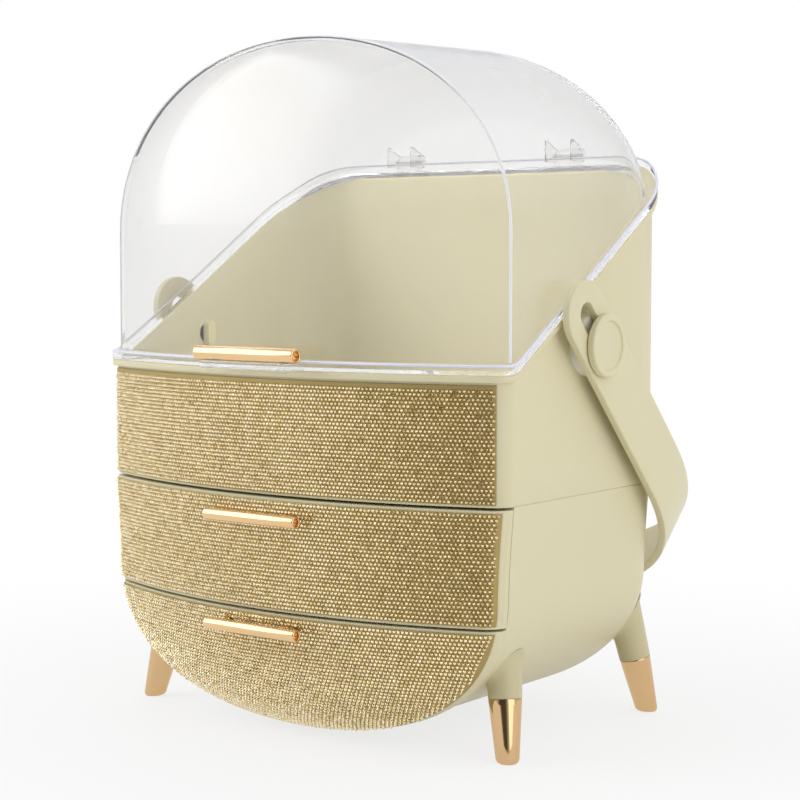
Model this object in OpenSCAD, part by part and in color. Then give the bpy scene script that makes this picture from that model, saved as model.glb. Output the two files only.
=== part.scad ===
// Vanity organizer: a casing with two drawers, an open tub above them, a clear hinged hood
// and a carry strap that swings on two side buttons. Millimetres, +Z up, front towards -Y.

/* [Casing] */
// Width across the side walls
case_w = 270; // [240:1:320]
// Depth of the side walls, from the front opening to the back wall
case_d = 162; // [145:1:200]
// Wall thickness of the mouldings
wall = 3; // [2:0.1:4]
// Radius of the upright back corners and of the casing's lower back edge
back_r = 40; // [25:1:42]
// Radius of the upright front corners
front_r = 12; // [8:0.5:16]
// Radius of the bowed front, seen from above
bow_r = 350; // [280:5:500]
// Height of the seam between the casing and the tub
seam_z = 132; // [120:1:150]
// Height where the sides start to turn under
spring_z = 85; // [75:1:95]
// Height of the casing's lowest point
belly_z = 5.5; // [5.5:0.5:12]
// How far the sides lean in between the seam and the turn
lean = 3; // [0:0.5:5]
// Fullness of the casing's underside, 2 is an ellipse
belly_n = 2.15; // [2:0.05:2.6]
// Width of the ledge that the tub stands on
ledge_w = 11; // [9:0.5:14]
// Thickness of that ledge
ledge_t = 6; // [4:0.5:8]
// How much thinner the ledge gets towards its free edge
ledge_draft = 1; // [0.5:0.5:2]

/* [Tub] */
// Height of the tub's rim at the front
rim_z = 197; // [180:1:220]
// Rise of the rim towards the back, per millimetre of depth
rim_slope = 0.64; // [0.45:0.005:0.7]
// Half length of the bend between the level rim and the sloping rim
rim_bend = 3; // [2:0.5:5]
// How far ahead of the front corners' ends the slope starts
rim_lead = 3; // [0:0.5:4]
// Extra rise of the rim along the back corners
back_lift = 2.5; // [0:0.1:6]
// How far the rim's lip stands out
lip_out = 3; // [2:0.5:3.5]
// Thickness of the lip
lip_t = 3.5; // [2.5:0.5:5]

/* [Hood] */
// Wall thickness of the clear hood
hood_t = 2.5; // [1.5:0.1:3]
// How far the hood's wall stands in from the casing's side
hood_in = 0.5; // [0:0.1:1]
// Thickness of the hood's flange
flange_t = 5; // [3:0.5:7]
// Gap between the rim and the flange
flange_gap = 0.3; // [0.2:0.1:0.8]
// Height where the hood's sides start to arch
arch_z = 266; // [255:1:285]
// Height of the arch above that line, at the front crease
arch_h = 104; // [85:1:120]
// How much higher the arch is at the back
arch_rise = 5; // [0:0.5:8]
// Fullness of the arch, 2 is an ellipse
arch_n = 2.12; // [2:0.02:2.4]
// How fast the bulge of the hood's front flattens towards the top
bulge_p = 1.2; // [0.8:0.1:1.6]

/* [Hinge] */
// Distance of each hinge from the middle
hinge_x = 57; // [40:1:75]
// Distance of the pins behind the back wall
hinge_out = 8.5; // [7.5:0.5:11]
// Height of the pins above the rim
hinge_up = 8.4; // [7.5:0.1:14]
// Radius of the hinge pins
pin_r = 1.5; // [1:0.1:2]
// Width of the tub's hinge lugs
lug_w = 14; // [8:0.1:18]
// Thickness of the hood's hinge ribs
rib_t = 2.5; // [2:0.1:4]
// Radius of the lugs and ribs around the pin
knuckle_r = 4; // [3.2:0.1:4.4]

/* [Strap] */
// Distance of the strap's pivot in front of the back wall
pivot_back = 96; // [88:0.5:110]
// Distance of the pivot below the rim beside it
pivot_drop = 31.6; // [24:0.1:40]
// Width of the strap
strap_w = 35.4; // [30:0.2:40]
// Thickness of the strap
strap_t = 4.2; // [3.4:0.2:6]
// Length of the straight arms, from the pivot to the start of the bend
strap_arm = 90; // [80:1:105]
// Depth of the bend below the arms, measured outside
strap_drop = 105; // [95:1:140]
// Fullness of the bend, 2 is an ellipse
strap_n = 2.5; // [2:0.05:3]
// Angle of the hanging strap from straight down
strap_rest = 43.4; // [42:0.1:50]
// Width of the slot in each arm
slot_w = 12.4; // [11:0.1:16]
// How far the strap slides on its pins
slot_travel = 22; // [8:1:24]
// Gap between the strap and the washer or the button
strap_gap = 0.3; // [0.2:0.1:0.6]
// Thickness of the washers
washer_t = 5.5; // [4.5:0.1:7]
// Radius of the washers
washer_r = 16; // [12:0.5:17]
// Radius of the buttons
button_r = 16.3; // [12:0.1:17]
// Thickness of the buttons
button_t = 4.2; // [2.6:0.2:6]
// Radius of the dish in each button
dish_r = 12.4; // [7:0.1:13.5]
// Depth of that dish
dish_t = 1.2; // [0.6:0.2:2]
// Width of the clip that holds each button, inside the tub
clip_w = 6; // [5:0.5:10]
// Height of that clip
clip_h = 15; // [14:0.5:20]
// Thickness of that clip
clip_t = 4.5; // [3:0.5:6]

/* [Drawers] */
// Height of the seam between the two drawers
drawer_seam_z = 70.8; // [66:0.2:76]
// Height of the lower drawer front's lowest point
front_z = 4.5; // [3:0.5:5]
// Fullness of the lower drawer front, 2 is an ellipse
front_n = 2.25; // [2:0.05:2.8]
// Gap round the drawer fronts
front_gap = 0.7; // [0.4:0.1:1.2]
// Gap between the upper drawer front and the tub
top_gap = 1.4; // [0.6:0.1:2.5]
// Wall thickness of the drawer fronts
front_t = 3; // [2:0.5:5]
// Width of the rim around the back of a drawer front
front_rim = 8; // [6:0.5:10]
// Wall thickness of the drawer trays
tray_t = 2; // [1.5:0.1:3]
// Gap between the upper tray and the walls beside it
tray_gap = 3; // [1.5:0.5:6]
// Gap between the lower tray and the curved wall around it
bowl_gap = 7; // [5:0.5:9]
// Gap between the upper tray and the back wall
upper_back = 11; // [9:1:50]
// Gap between the lower tray and the back wall
lower_back = 23; // [20:1:60]
// Radius of the trays' back corners
tray_r = 30; // [28:1:36]
// Height of the lower tray's flat bottom
tray_z = 22; // [19:1:30]
// Thickness of the shelf between the drawers
shelf_t = 2; // [1.5:0.1:3]

/* [Stone sheets] */
// Thickness of the stone sheets
sheet_t = 1.6; // [1:0.1:2.5]
// Distance of the tub's sheet from the sides
tub_edge = 4.2; // [3:0.1:10]
// Distance of a drawer's sheet from the sides of its front
drawer_edge = 1.7; // [1:0.1:6]
// Distance of a sheet from the top and bottom of its front
sheet_end = 1.3; // [0.5:0.1:4]
// Thickness of the glue behind a sheet
glue_t = 0.25; // [0.2:0.05:0.5]

/* [Bars] */
// Length of the hood's bar
hood_bar_l = 68; // [56:1:100]
// Radius of the hood's bar
hood_bar_r = 3.9; // [3:0.1:5]
// Distance of the hood's bar in front of the flange
hood_bar_out = 8; // [6:0.5:12]
// Length of the drawer bars
bar_l = 62.5; // [50:0.5:90]
// Radius of the drawer bars
bar_r = 3.25; // [2.5:0.05:4.5]
// Distance of the drawer bars' middle line in front of the bowed front
bar_out = 8.4; // [8:0.2:16]
// Distance of the upper bar below the top of its drawer front
upper_drop = 10.4; // [8:0.1:20]
// Distance of the lower bar below the top of its drawer front
lower_drop = 8.1; // [8:0.1:20]
// Distance of the screws from the middle of a bar
post_x = 22; // [15:0.5:24]
// Radius of the posts behind the drawer bars
post_r = 2.6; // [2.2:0.1:3]
// Radius of the bars' screws
screw_r = 1.5; // [1:0.1:1.8]

/* [Legs] */
// Distance of the feet in from the sides
foot_side = 10.7; // [5:0.1:25]
// Distance of the feet in from the front opening and the back wall
foot_in = 10.9; // [6:0.1:16]
// Lean of the legs towards the middle, per millimetre of height
splay = 0.17; // [0.1:0.01:0.2]
// Height of the metal tips
tip_h = 31; // [20:1:36]
// Radius of a tip at the floor
tip_r = 6; // [5:0.1:8]
// Radius of a leg where its tip ends
leg_r = 8.7; // [7.5:0.1:10]
// Radius of a leg at its top
leg_top_r = 10.3; // [8.5:0.1:12]
// Radius of the spigot that holds a tip
spigot_r = 4.6; // [3:0.1:6]
// Length of that spigot
spigot_l = 14; // [8:1:18]

/* [Hidden] */
cream = "#E1DAB8";
pale = "#EDE9D6";
gold = "#E0BE92";
stone = "#C2A868";
steel = "#B9B9B4";
clear = [0.92, 0.93, 0.97, 0.35];
eps = 0.01;

// Plan of the casing: a bowed front, small front corners and large back corners.
half = case_w / 2;
corner_x = half - front_r;
bow_y = sqrt(pow(bow_r - front_r, 2) - pow(corner_x, 2));
bow = bow_r - bow_y;
bow_turn = asin(corner_x / (bow_r - front_r));
fillet_y = case_d - back_r;
BOW_STEPS = 16;
CORNER_STEPS = 5;
BACK_STEPS = 12;

// A point of the front, grown by `off`, at an angle from straight ahead: 0 at the middle, 90 at the side.
function front_point(a, off = 0) = let (m = min(abs(a), bow_turn))
  abs(a) <= bow_turn
    ? [(bow_r + off) * sin(a), bow_y - (bow_r + off) * cos(a)]
    : [sign(a) * (corner_x + (front_r + off) * sin(abs(a))), -(front_r + off) * cos(a)];
// Angles along the front, from the left side to the right side.
front_angles = [
  for (i = [0:CORNER_STEPS - 1]) -90 + (90 - bow_turn) * i / CORNER_STEPS,
  for (i = [0:BOW_STEPS]) bow_turn * (2 * i / BOW_STEPS - 1),
  for (i = [CORNER_STEPS - 1:-1:0]) 90 - (90 - bow_turn) * i / CORNER_STEPS];
// The bowed front's Y at a distance x from the middle, on a front as wide as the casing.
function front_y(x) = let (q = abs(x))
  q <= bow_r * sin(bow_turn) ? bow_y - sqrt(bow_r * bow_r - q * q)
    : -sqrt(max(0, front_r * front_r - pow(q - corner_x, 2)));
// A point of the back corner, inset by `d`, at an angle from the side.
function back_point(a, d) = [half - back_r + (back_r - d) * cos(a), fillet_y + (back_r - d) * sin(a)];
module plan(off = 0) polygon([
  for (a = front_angles) front_point(a, off),
  for (i = [0:BACK_STEPS]) back_point(90 * i / BACK_STEPS, -off),
  for (i = [BACK_STEPS:-1:0]) let (p = back_point(90 * i / BACK_STEPS, -off)) [-p[0], p[1]]]);

// Height of the rim: level at the front, a short bend, a straight slope, then a little more rise
// along the back corners.
BACK_TURNS = 7;
// The extra rise begins and ends at these shares of the back corner's depth.
LIFT_FROM = 0.5;
LIFT_TO = 0.95;
lift_start = fillet_y + LIFT_FROM * back_r;
lift_span = (LIFT_TO - LIFT_FROM) * back_r;
function lift(y) = let (s = max(0, min(1, (y - lift_start) / lift_span))) back_lift * s * s * (3 - 2 * s);
function slope_at(t) = t < -rim_bend ? 0 : t > rim_bend ? rim_slope * t
  : rim_slope * pow(t + rim_bend, 2) / (4 * rim_bend);
function rim(y) = rim_z + slope_at(y + rim_lead) + lift(y);
rim_stations = concat(
  [for (i = [-2:2]) rim_bend * i / 2 - rim_lead],
  [for (i = [0:BACK_TURNS]) fillet_y + back_r * sin(90 * i / BACK_TURNS)]);

// Places that follow from the casing and the rim.
pivot_y = case_d - pivot_back;
pivot_z = rim(pivot_y) - pivot_drop;
upper_depth = case_d - wall - upper_back;
lower_depth = case_d - wall - lower_back;
foot_x = half - foot_side;

// Outline of the casing and its lower drawer front: sides that lean in, then a rounded underside.
side_w = half - lean;
function side_x(z) = side_w + lean * pow(max(0, min(1, (z - spring_z) / (seam_z - spring_z))), 1.5);
// A point of a superellipse quarter with half width w and height h, inset by d; angle 0 is its side.
function quarter(a, w, h, n, d) = let (e = 2 / n,
    nx = pow(cos(a), 2 - e) / w,
    nz = pow(sin(a), 2 - e) / h,
    l = norm([nx, nz]))
  [w * pow(cos(a), e) - d * nx / l, h * pow(sin(a), e) - d * nz / l];
// Half width of the same shape at a drop below its springing, without an inset.
function quarter_x(drop, w, h, n) = w * pow(max(0, 1 - pow(max(0, drop) / h, n)), 1 / n);
function quarter_drop(x, w, h, n) = h * pow(max(0, 1 - pow(abs(x) / w, n)), 1 / n);
belly_h = spring_z - belly_z;
front_h = spring_z - front_z;
function belly_x(z, d = 0) = z > spring_z ? side_x(z) - d
  : quarter_x(spring_z - z, side_w - d, belly_h - d, belly_n);
function belly_floor(x, d = 0) = spring_z - quarter_drop(x, side_w - d, belly_h - d, belly_n);
function outline_x(z) = z > spring_z ? side_x(z) : quarter_x(spring_z - z, side_w, front_h, front_n);
// Bulge of the fronts at a height, as a share of the full bow.
seam_x = outline_x(drawer_seam_z);
function bulge(z) = z >= drawer_seam_z ? 1 : pow(outline_x(z) / seam_x, bulge_p);
// The front surface's Y at any place.
function surface_y(x, z) = front_y(half * min(1, abs(x) / outline_x(z))) * bulge(z) - front_gap;

// Overall reach, used to set the origin at the middle of the footprint.
hood_bar_y = -bow - lip_out - hood_bar_out;
bar_y = -bow - bar_out;
strap_x = half + washer_t + strap_gap;
bend_r = strap_x + strap_t;
reach = strap_arm + strap_drop;
front_most = min(hood_bar_y - hood_bar_r, bar_y - bar_r);
back_most = pivot_y + reach * sin(strap_rest) + strap_w / 2 * cos(strap_rest);
mid_y = (front_most + back_most) / 2;
module place() translate([0, -mid_y, 0]) children();
// Carries a flat shape drawn in (Y, Z) across the width, centred.
module across(w) rotate([90, 0, 90]) linear_extrude(w, center = true) children();
// Carries a flat shape drawn in (X, Z) along the depth, from y0 to y1.
module along(y0, y1) translate([0, y1, 0]) rotate([90, 0, 0]) linear_extrude(y1 - y0) children();

// ---- grids of points, as index arithmetic for polyhedra ----
function quads(base, rows, cols, flip = false) = [
  for (r = [0:rows - 2]) for (c = [0:cols - 2])
    let (a = base + r * cols + c, b = a + 1, q = a + cols + 1, p = a + cols)
    each flip ? [[a, q, b], [a, p, q]] : [[a, b, q], [a, q, p]]];
// Closes a strip between two index lists of equal length.
function strip(u, v) = [for (i = [0:len(u) - 2]) each [[u[i], u[i + 1], v[i + 1]], [u[i], v[i + 1], v[i]]]];
function reversed(l) = [for (i = [len(l) - 1:-1:0]) l[i]];
// A polyhedron whose faces were listed from the inside.
module turned_polyhedron(points, faces) polyhedron(points, [for (f = faces) reversed(f)]);
// Closes a mirrored arc of indices level by level.
function closed_arc(l) = let (n = len(l), m = floor(n / 2)) [
  for (i = [0:m - 1]) each i < m - 1 || n % 2 == 0
    ? [[l[i], l[n - 1 - i], l[n - 2 - i]], [l[i], l[n - 2 - i], l[i + 1]]]
    : [[l[i], l[n - 1 - i], l[i + 1]]]];

// ---- lower casing ----
BELLY_STEPS = 15;
TOP_LEVELS = [seam_z, seam_z - ledge_t / 2, seam_z - ledge_t, (seam_z + spring_z) / 2];
// One half of the section, from the top edge to the bottom middle, inset by d.
function half_section(d) = [
  for (z = TOP_LEVELS) [side_x(z) - d, z],
  for (i = [0:BELLY_STEPS]) let (q = quarter(90 * i / BELLY_STEPS, side_w, belly_h, belly_n, d))
    [q[0], spring_z - q[1]]];
// A whole row of the casing at corner angle a; the first row lies at the front opening.
function casing_row(y_front, a, d, ledge) = let (
    h = half_section(back_r - (back_r - d) * cos(a)),
    n = len(h) - 1,
    pts = [for (k = [0:n]) let (
        deep = ledge && k < 2 ? ledge_w : d,
        inset = back_r - (back_r - deep) * cos(a),
        z = ledge && k == 1 ? seam_z - ledge_t + ledge_draft : TOP_LEVELS[k],
        q = k < 2 ? [side_x(TOP_LEVELS[k]) - inset, z] : h[k],
        y = is_undef(y_front) ? fillet_y + (back_r - deep) * sin(a) : y_front)
      [-q[0], y, q[1]]])
  [for (p = pts) p, for (k = [n - 1:-1:0]) [-pts[k][0], pts[k][1], pts[k][2]]];
FILLET_STEPS = 8;
function casing_grid(d, ledge) = [
  each casing_row(0, 0, d, ledge),
  for (i = [0:FILLET_STEPS]) each casing_row(undef, 90 * i / FILLET_STEPS, d, ledge)];
casing_cols = 2 * (BELLY_STEPS + 4) + 1;
casing_rows = FILLET_STEPS + 2;
// The casing's outer shape as one block, used to cut the legs to it.
module casing_block() {
  n = casing_cols;
  last = [for (c = [0:n - 1]) (casing_rows - 1) * n + c];
  polyhedron(casing_grid(0, false), concat(
    quads(0, casing_rows, n),
    closed_arc([for (c = [0:n - 1]) c]),
    closed_arc(reversed(last)),
    strip([for (r = [0:casing_rows - 1]) r * n], [for (r = [0:casing_rows - 1]) r * n + n - 1])));
}
module lower_casing() {
  n = casing_cols;
  size = casing_rows * n;
  cols = [for (c = [0:n - 1]) c];
  rows = [for (r = [0:casing_rows - 1]) r * n];
  back = [for (c = cols) (casing_rows - 1) * n + c];
  color(cream) polyhedron(
    concat(casing_grid(0, false), casing_grid(wall, true)),
    concat(
      quads(0, casing_rows, n),
      quads(size, casing_rows, n, true),
      strip([for (c = cols) size + c], cols),
      closed_arc(reversed(back)),
      closed_arc([for (c = back) size + c]),
      strip(rows, [for (r = rows) size + r]),
      strip([for (r = rows) size + r + n - 1], [for (r = rows) r + n - 1]),
      strip([back[0], back[n - 1]], [size + back[0], size + back[n - 1]])));
}

// ---- what lies inside the casing ----
shelf_z = drawer_seam_z - shelf_t / 2;
// How far the shelf and the runners reach into the wall they are joined to.
bite = 1;
// Gap under the trays.
floor_gap = 0.3;
module back_rounded(w, y0, y1, r) polygon([[-w, y0], [w, y0],
  for (i = [0:BACK_STEPS]) let (a = 90 * i / BACK_STEPS) [w - r + r * cos(a), y1 - r + r * sin(a)],
  for (i = [BACK_STEPS:-1:0]) let (a = 90 * i / BACK_STEPS) [-(w - r + r * cos(a)), y1 - r + r * sin(a)]]);
module drawer_shelf() color(cream) translate([0, 0, shelf_z]) linear_extrude(shelf_t)
  back_rounded(belly_x(shelf_z, wall) + bite, shelf_y, case_d - wall + bite, back_r - wall + bite);

tray_floor_w = quarter_x(spring_z - tray_z, side_w - wall - bowl_gap, belly_h - wall - bowl_gap, belly_n);
runner_w = 6;
runner_x = tray_floor_w - runner_w - 1;
// Start of the runners and of the shelf behind the front opening.
runner_y = 4;
shelf_y = 0.5;
runner_low = belly_floor(runner_x, wall) - bite;
module lower_runners() for (s = [-1, 1]) color(cream)
  translate([s * runner_x - runner_w / 2, runner_y, runner_low])
    cube([runner_w, fillet_y - runner_y, tray_z - floor_gap - runner_low]);

// The stops hang behind the front opening and catch the drawers' back walls.
tray_top = seam_z - ledge_t - 2;
lower_top = shelf_z - 2.5;
stop_x = 60;
stop_y = 30;
stop_w = 8;
stop_t = 4;
stop_h = 3;
module stop(x, z_top, z_low) translate([x - stop_w / 2, stop_y, z_low]) cube([stop_w, stop_t, z_top - z_low]);
module drawer_stops() color(cream) for (s = [-1, 1]) {
  stop(s * stop_x, seam_z, tray_top - stop_h);
  stop(s * stop_x, shelf_z, lower_top - stop_h);
}

// Screws that hold the tub on the ledge.
screw_x = half - ledge_w + 4;
screw_ys = [12, fillet_y - 7];
ledge_screw_r = 1.4;
head_r = 2.8;
head_t = 1.6;
module casing_screws() color(steel) for (s = [-1, 1], y = screw_ys) translate([s * screw_x, y, 0]) {
  translate([0, 0, seam_z + wall]) cylinder(r = head_r, h = head_t, $fn = 32);
  translate([0, 0, seam_z - ledge_t + ledge_draft])
    cylinder(r = ledge_screw_r, h = wall + ledge_t, $fn = 32);
}

// ---- tub ----
hinge_y = case_d + hinge_out;
hinge_z = rim(case_d) + hinge_up;
top_z = rim(case_d + lip_out) + 40;
shaft_r = slot_w / 2 - strap_gap;
module above_rim(dz) across(2 * case_w) polygon([
  [-case_w, rim_z + dz],
  for (y = rim_stations) [y, rim(y) + dz],
  [case_w, rim(case_w) + dz], [case_w, top_z + case_w], [-case_w, top_z + case_w]]);
// Height of a lug below its pin, at the back wall and at its outer edge.
lug_root = 26;
lug_end = 14;
module lug() across(lug_w) polygon([
  [case_d - wall, hinge_z - lug_root], [hinge_y + knuckle_r, hinge_z - lug_end],
  [hinge_y + knuckle_r, hinge_z], [hinge_y - knuckle_r, hinge_z],
  [hinge_y - knuckle_r, rim(case_d)], [case_d - wall, rim(case_d - wall) - 1]]);
module upper_tub() color(cream) difference() {
  union() {
    difference() {
      translate([0, 0, seam_z]) linear_extrude(top_z - seam_z) plan();
      above_rim(0);
    }
    intersection() {
      translate([0, 0, seam_z]) linear_extrude(top_z - seam_z) plan(lip_out);
      difference() {
        above_rim(-lip_t);
        above_rim(0);
      }
    }
    for (s = [-1, 1]) translate([s * hinge_x, 0, 0]) {
      lug();
      translate([0, hinge_y, hinge_z]) rotate([0, 90, 0])
        cylinder(r = knuckle_r, h = lug_w, center = true, $fn = 48);
    }
  }
  translate([0, 0, seam_z + wall]) linear_extrude(top_z) plan(-wall);
  for (s = [-1, 1]) {
    translate([s * hinge_x, hinge_y, hinge_z]) rotate([0, 90, 0])
      cylinder(r = pin_r + 0.02, h = lug_w + 2, center = true, $fn = 32);
    for (y = screw_ys) translate([s * screw_x, y, seam_z - 1])
      cylinder(r = ledge_screw_r + 0.2, h = 2 * wall, $fn = 32);
  }
  translate([0, pivot_y, pivot_z]) rotate([0, 90, 0])
    cylinder(r = shaft_r + 0.1, h = case_w + 2, center = true, $fn = 64);
}
module hinge_pin(s) color(steel) translate([s * hinge_x, hinge_y, hinge_z]) rotate([0, 90, 0])
  cylinder(r = pin_r, h = lug_w + 2 * rib_t + 2, center = true, $fn = 32);

// ---- fronts and stone sheets ----
// Levels of an upright band from z0 to z1, each [half width, height].
function band_levels(z0, z1, steps) = [
  for (i = [0:steps]) let (z = z0 + (z1 - z0) * i / steps) [outline_x(z), z]];
// Grid of a front surface: half widths shrunk by `edge`, pushed out by `off`.
function front_grid(levels, edge, off) = [
  for (l = levels) for (a = front_angles) let (x = front_point(a)[0] / half * (l[0] - edge))
    [x, surface_y(x, l[1]) - off, l[1]]];
front_cols = len(front_angles);
// A thin sheet that lies on the front surface.
module sheet(levels, edge) {
  rows = len(levels);
  n = front_cols;
  size = rows * n;
  edge_up = [for (r = [0:rows - 1]) r * n];
  cols = [for (c = [0:n - 1]) c];
  turned_polyhedron(
    concat(front_grid(levels, edge, glue_t + sheet_t), front_grid(levels, edge, glue_t)),
    concat(
      quads(0, rows, n),
      quads(size, rows, n, true),
      strip([for (c = cols) size + c], cols),
      strip([for (c = cols) size - n + c], [for (c = cols) 2 * size - n + c]),
      strip(edge_up, [for (e = edge_up) size + e]),
      strip([for (e = edge_up) size + e + n - 1], [for (e = edge_up) e + n - 1])));
}
module post_holes(z) for (s = [-1, 1]) translate([s * post_x, 0, z]) rotate([90, 0, 0])
  cylinder(r = post_r + 0.3, h = 3 * bow, center = true, $fn = 32);
module tub_stone_sheet() color(stone) translate([0, front_gap, 0])
  sheet([for (z = [seam_z + sheet_end, rim_z - lip_t - sheet_end]) [half, z]], tub_edge);

// A hollow drawer front, open at the back: outer and inner levels of equal count.
module hollow_front(outer, inner) {
  rows = len(outer);
  n = front_cols;
  size = rows * n;
  shrink = (bow - front_t) / bow;
  edge_up = [for (r = [0:rows - 1]) r * n];
  cols = [for (c = [0:n - 1]) c];
  last = [for (c = cols) size - n + c];
  turned_polyhedron(
    concat(
      [for (l = outer) for (a = front_angles) let (p = front_point(a))
        [p[0] / half * l[0], p[1] * bulge(l[1]) - front_gap, l[1]]],
      [for (i = [0:rows - 1]) for (a = front_angles) let (p = front_point(a))
        [p[0] / half * inner[i][0], p[1] * bulge(outer[i][1]) * shrink - front_gap, inner[i][1]]]),
    concat(
      quads(0, rows, n),
      quads(size, rows, n, true),
      closed_arc(cols),
      closed_arc(reversed(last)),
      closed_arc(reversed([for (c = cols) size + c])),
      closed_arc([for (c = last) size + c]),
      strip(edge_up, [for (e = edge_up) size + e]),
      strip([for (e = edge_up) size + e + n - 1], [for (e = edge_up) e + n - 1]),
      strip([size, size + n - 1], [0, n - 1]),
      strip([last[0], last[n - 1]], [size + last[0], size + last[n - 1]])));
}
upper_low = drawer_seam_z + front_gap;
upper_high = seam_z - top_gap;
UPPER_STEPS = 6;
upper_outer = band_levels(upper_low, upper_high, UPPER_STEPS);
upper_inner = [for (i = [0:UPPER_STEPS])
  [upper_outer[i][0] - front_rim,
    upper_low + front_t + (upper_high - upper_low - 2 * front_t) * i / UPPER_STEPS]];

// Levels of the bowl-shaped lower front, from its flat foot up to its top edge.
lower_high = drawer_seam_z - front_gap;
FOOT_ANGLE = 86;
LOWER_STEPS = 13;
function bowl_levels(top, d) = let (a1 = asin(pow((spring_z - top) / front_h, front_n / 2)))
  [for (i = [0:LOWER_STEPS])
    let (q = quarter(FOOT_ANGLE + (a1 - FOOT_ANGLE) * i / LOWER_STEPS, side_w, front_h, front_n, d))
    [q[0], spring_z - q[1]]];

// Radius of the recess in a bar's end as a share of the bar's own, and its depth.
bore_share = 0.62;
bore_depth = 2.5;
module bar(l, r) rotate([0, 90, 0]) difference() {
  cylinder(r = r, h = l, center = true, $fn = 64);
  for (s = [-1, 1]) translate([0, 0, s * l / 2])
    cylinder(r = r * bore_share, h = 2 * bore_depth, center = true, $fn = 48);
}
// The front wall of each tray is a plate behind its drawer front, a little larger than the tray.
plate_t = 2.5;
plate_y = -front_gap;
plate_edge = 2;
plate_top = 1;
post_fit = 0.05;
// Heads of the screws behind the plates.
post_head_r = 3.4;
post_head_t = 2;
// The end of a drawer bar's posts, just clear of the bowed front.
function post_end(z) = surface_y(post_x - post_r, z) - post_fit;
module drawer_bar(z) color(gold) difference() {
  translate([0, bar_y, z]) union() {
    bar(bar_l, bar_r);
    for (s = [-1, 1]) translate([s * post_x, 0, 0]) rotate([-90, 0, 0])
      cylinder(r = post_r, h = post_end(z) - bar_y, $fn = 48);
  }
  for (s = [-1, 1]) translate([s * post_x, bar_y, z]) rotate([-90, 0, 0])
    cylinder(r = screw_r, h = bow, $fn = 32);
}
module drawer_bar_screws(z) color(steel) for (s = [-1, 1]) translate([s * post_x, 0, z]) {
  translate([0, plate_y + plate_t, 0]) rotate([-90, 0, 0])
    cylinder(r = post_head_r, h = post_head_t, $fn = 32);
  translate([0, bar_y, 0]) rotate([-90, 0, 0])
    cylinder(r = screw_r, h = plate_y + plate_t - bar_y + eps, $fn = 32);
}
module screw_holes(z) for (s = [-1, 1]) translate([s * post_x, bar_y, z]) rotate([-90, 0, 0])
  cylinder(r = screw_r + 0.2, h = plate_y + plate_t + 1 - bar_y, $fn = 32);
upper_bar_z = upper_high - upper_drop;
lower_bar_z = lower_high - lower_drop;

// ---- drawers ----
module upper_drawer_tray() color(cream) {
  low = shelf_z + shelf_t + floor_gap;
  w = belly_x(low, wall) - tray_gap;
  difference() {
    union() {
      translate([0, 0, low]) linear_extrude(tray_top - low)
        back_rounded(w, plate_y + plate_t, upper_depth, tray_r);
      translate([-w - plate_edge, plate_y, low])
        cube([2 * (w + plate_edge), plate_t, tray_top + plate_top - low]);
    }
    translate([0, 0, low + tray_t]) linear_extrude(tray_top)
      back_rounded(w - tray_t, plate_y + plate_t, upper_depth - tray_t, tray_r - tray_t);
    screw_holes(upper_bar_z);
  }
}
module upper_drawer_front() color(cream) difference() {
  hollow_front(upper_outer, upper_inner);
  screw_holes(upper_bar_z);
}
module upper_stone_sheet() color(stone) difference() {
  sheet(band_levels(upper_low + sheet_end, upper_high - sheet_end, UPPER_STEPS), drawer_edge);
  post_holes(upper_bar_z);
}
// The section of the lower tray: the casing's curve set in by d, with a flat bottom at z0.
BOWL_STEPS = 24;
function bowl_point(i, d) = let (q = quarter(90 * i / BOWL_STEPS, side_w, belly_h, belly_n, d))
  [q[0], spring_z - q[1]];
module bowl_section(d, z0, z1) intersection() {
  polygon([
    for (i = [0:BOWL_STEPS]) bowl_point(i, d),
    for (i = [BOWL_STEPS - 1:-1:0]) let (q = bowl_point(i, d)) [-q[0], q[1]],
    [-side_w + d, seam_z], [side_w - d, seam_z]]);
  translate([-case_w, z0]) square([2 * case_w, z1 - z0]);
}
module lower_drawer_tray() color(cream) difference() {
  union() {
    intersection() {
      along(plate_y + plate_t, lower_depth) bowl_section(wall + bowl_gap, tray_z, lower_top);
      linear_extrude(seam_z) back_rounded(side_w, plate_y, lower_depth, tray_r);
    }
    along(plate_y, plate_y + plate_t) bowl_section(wall + 1.5, belly_z + wall, lower_top + plate_top);
  }
  intersection() {
    along(plate_y + plate_t, lower_depth - tray_t)
      bowl_section(wall + bowl_gap + tray_t, tray_z + tray_t, seam_z);
    linear_extrude(seam_z + 1)
      back_rounded(side_w - tray_t, plate_y, lower_depth - tray_t, tray_r - tray_t);
  }
  screw_holes(lower_bar_z);
}
module lower_drawer_front() color(cream) difference() {
  hollow_front(bowl_levels(lower_high, 0), bowl_levels(lower_high - front_t, front_rim));
  screw_holes(lower_bar_z);
}
module lower_stone_sheet() color(stone) difference() {
  sheet(bowl_levels(lower_high - sheet_end, 0), drawer_edge);
  post_holes(lower_bar_z);
}

// ---- hood ----
ARCH_STEPS = 14;
WALL_STEPS = 2;
crease_y = -rim_bend;
hood_w = half - hood_in;
function flange_low(y) = rim(y) + flange_gap;
function flange_top(y) = flange_low(y) + flange_t;
// Height of the arch at a depth.
function arch_top(y) = arch_h + arch_rise * (y - crease_y) / (case_d - crease_y);
function arch_point(a, y, d) = let (q = quarter(a, hood_w, arch_top(y), arch_n, d)) [q[0], arch_z + q[1]];
// The angle at which the arch reaches height z, by halving.
function arch_angle(z, y, d, lo = 0, hi = 80, n = 24) = n == 0 ? lo
  : let (mid = (lo + hi) / 2) arch_point(mid, y, d)[1] < z
    ? arch_angle(z, y, d, mid, hi, n - 1) : arch_angle(z, y, d, lo, mid, n - 1);
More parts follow.
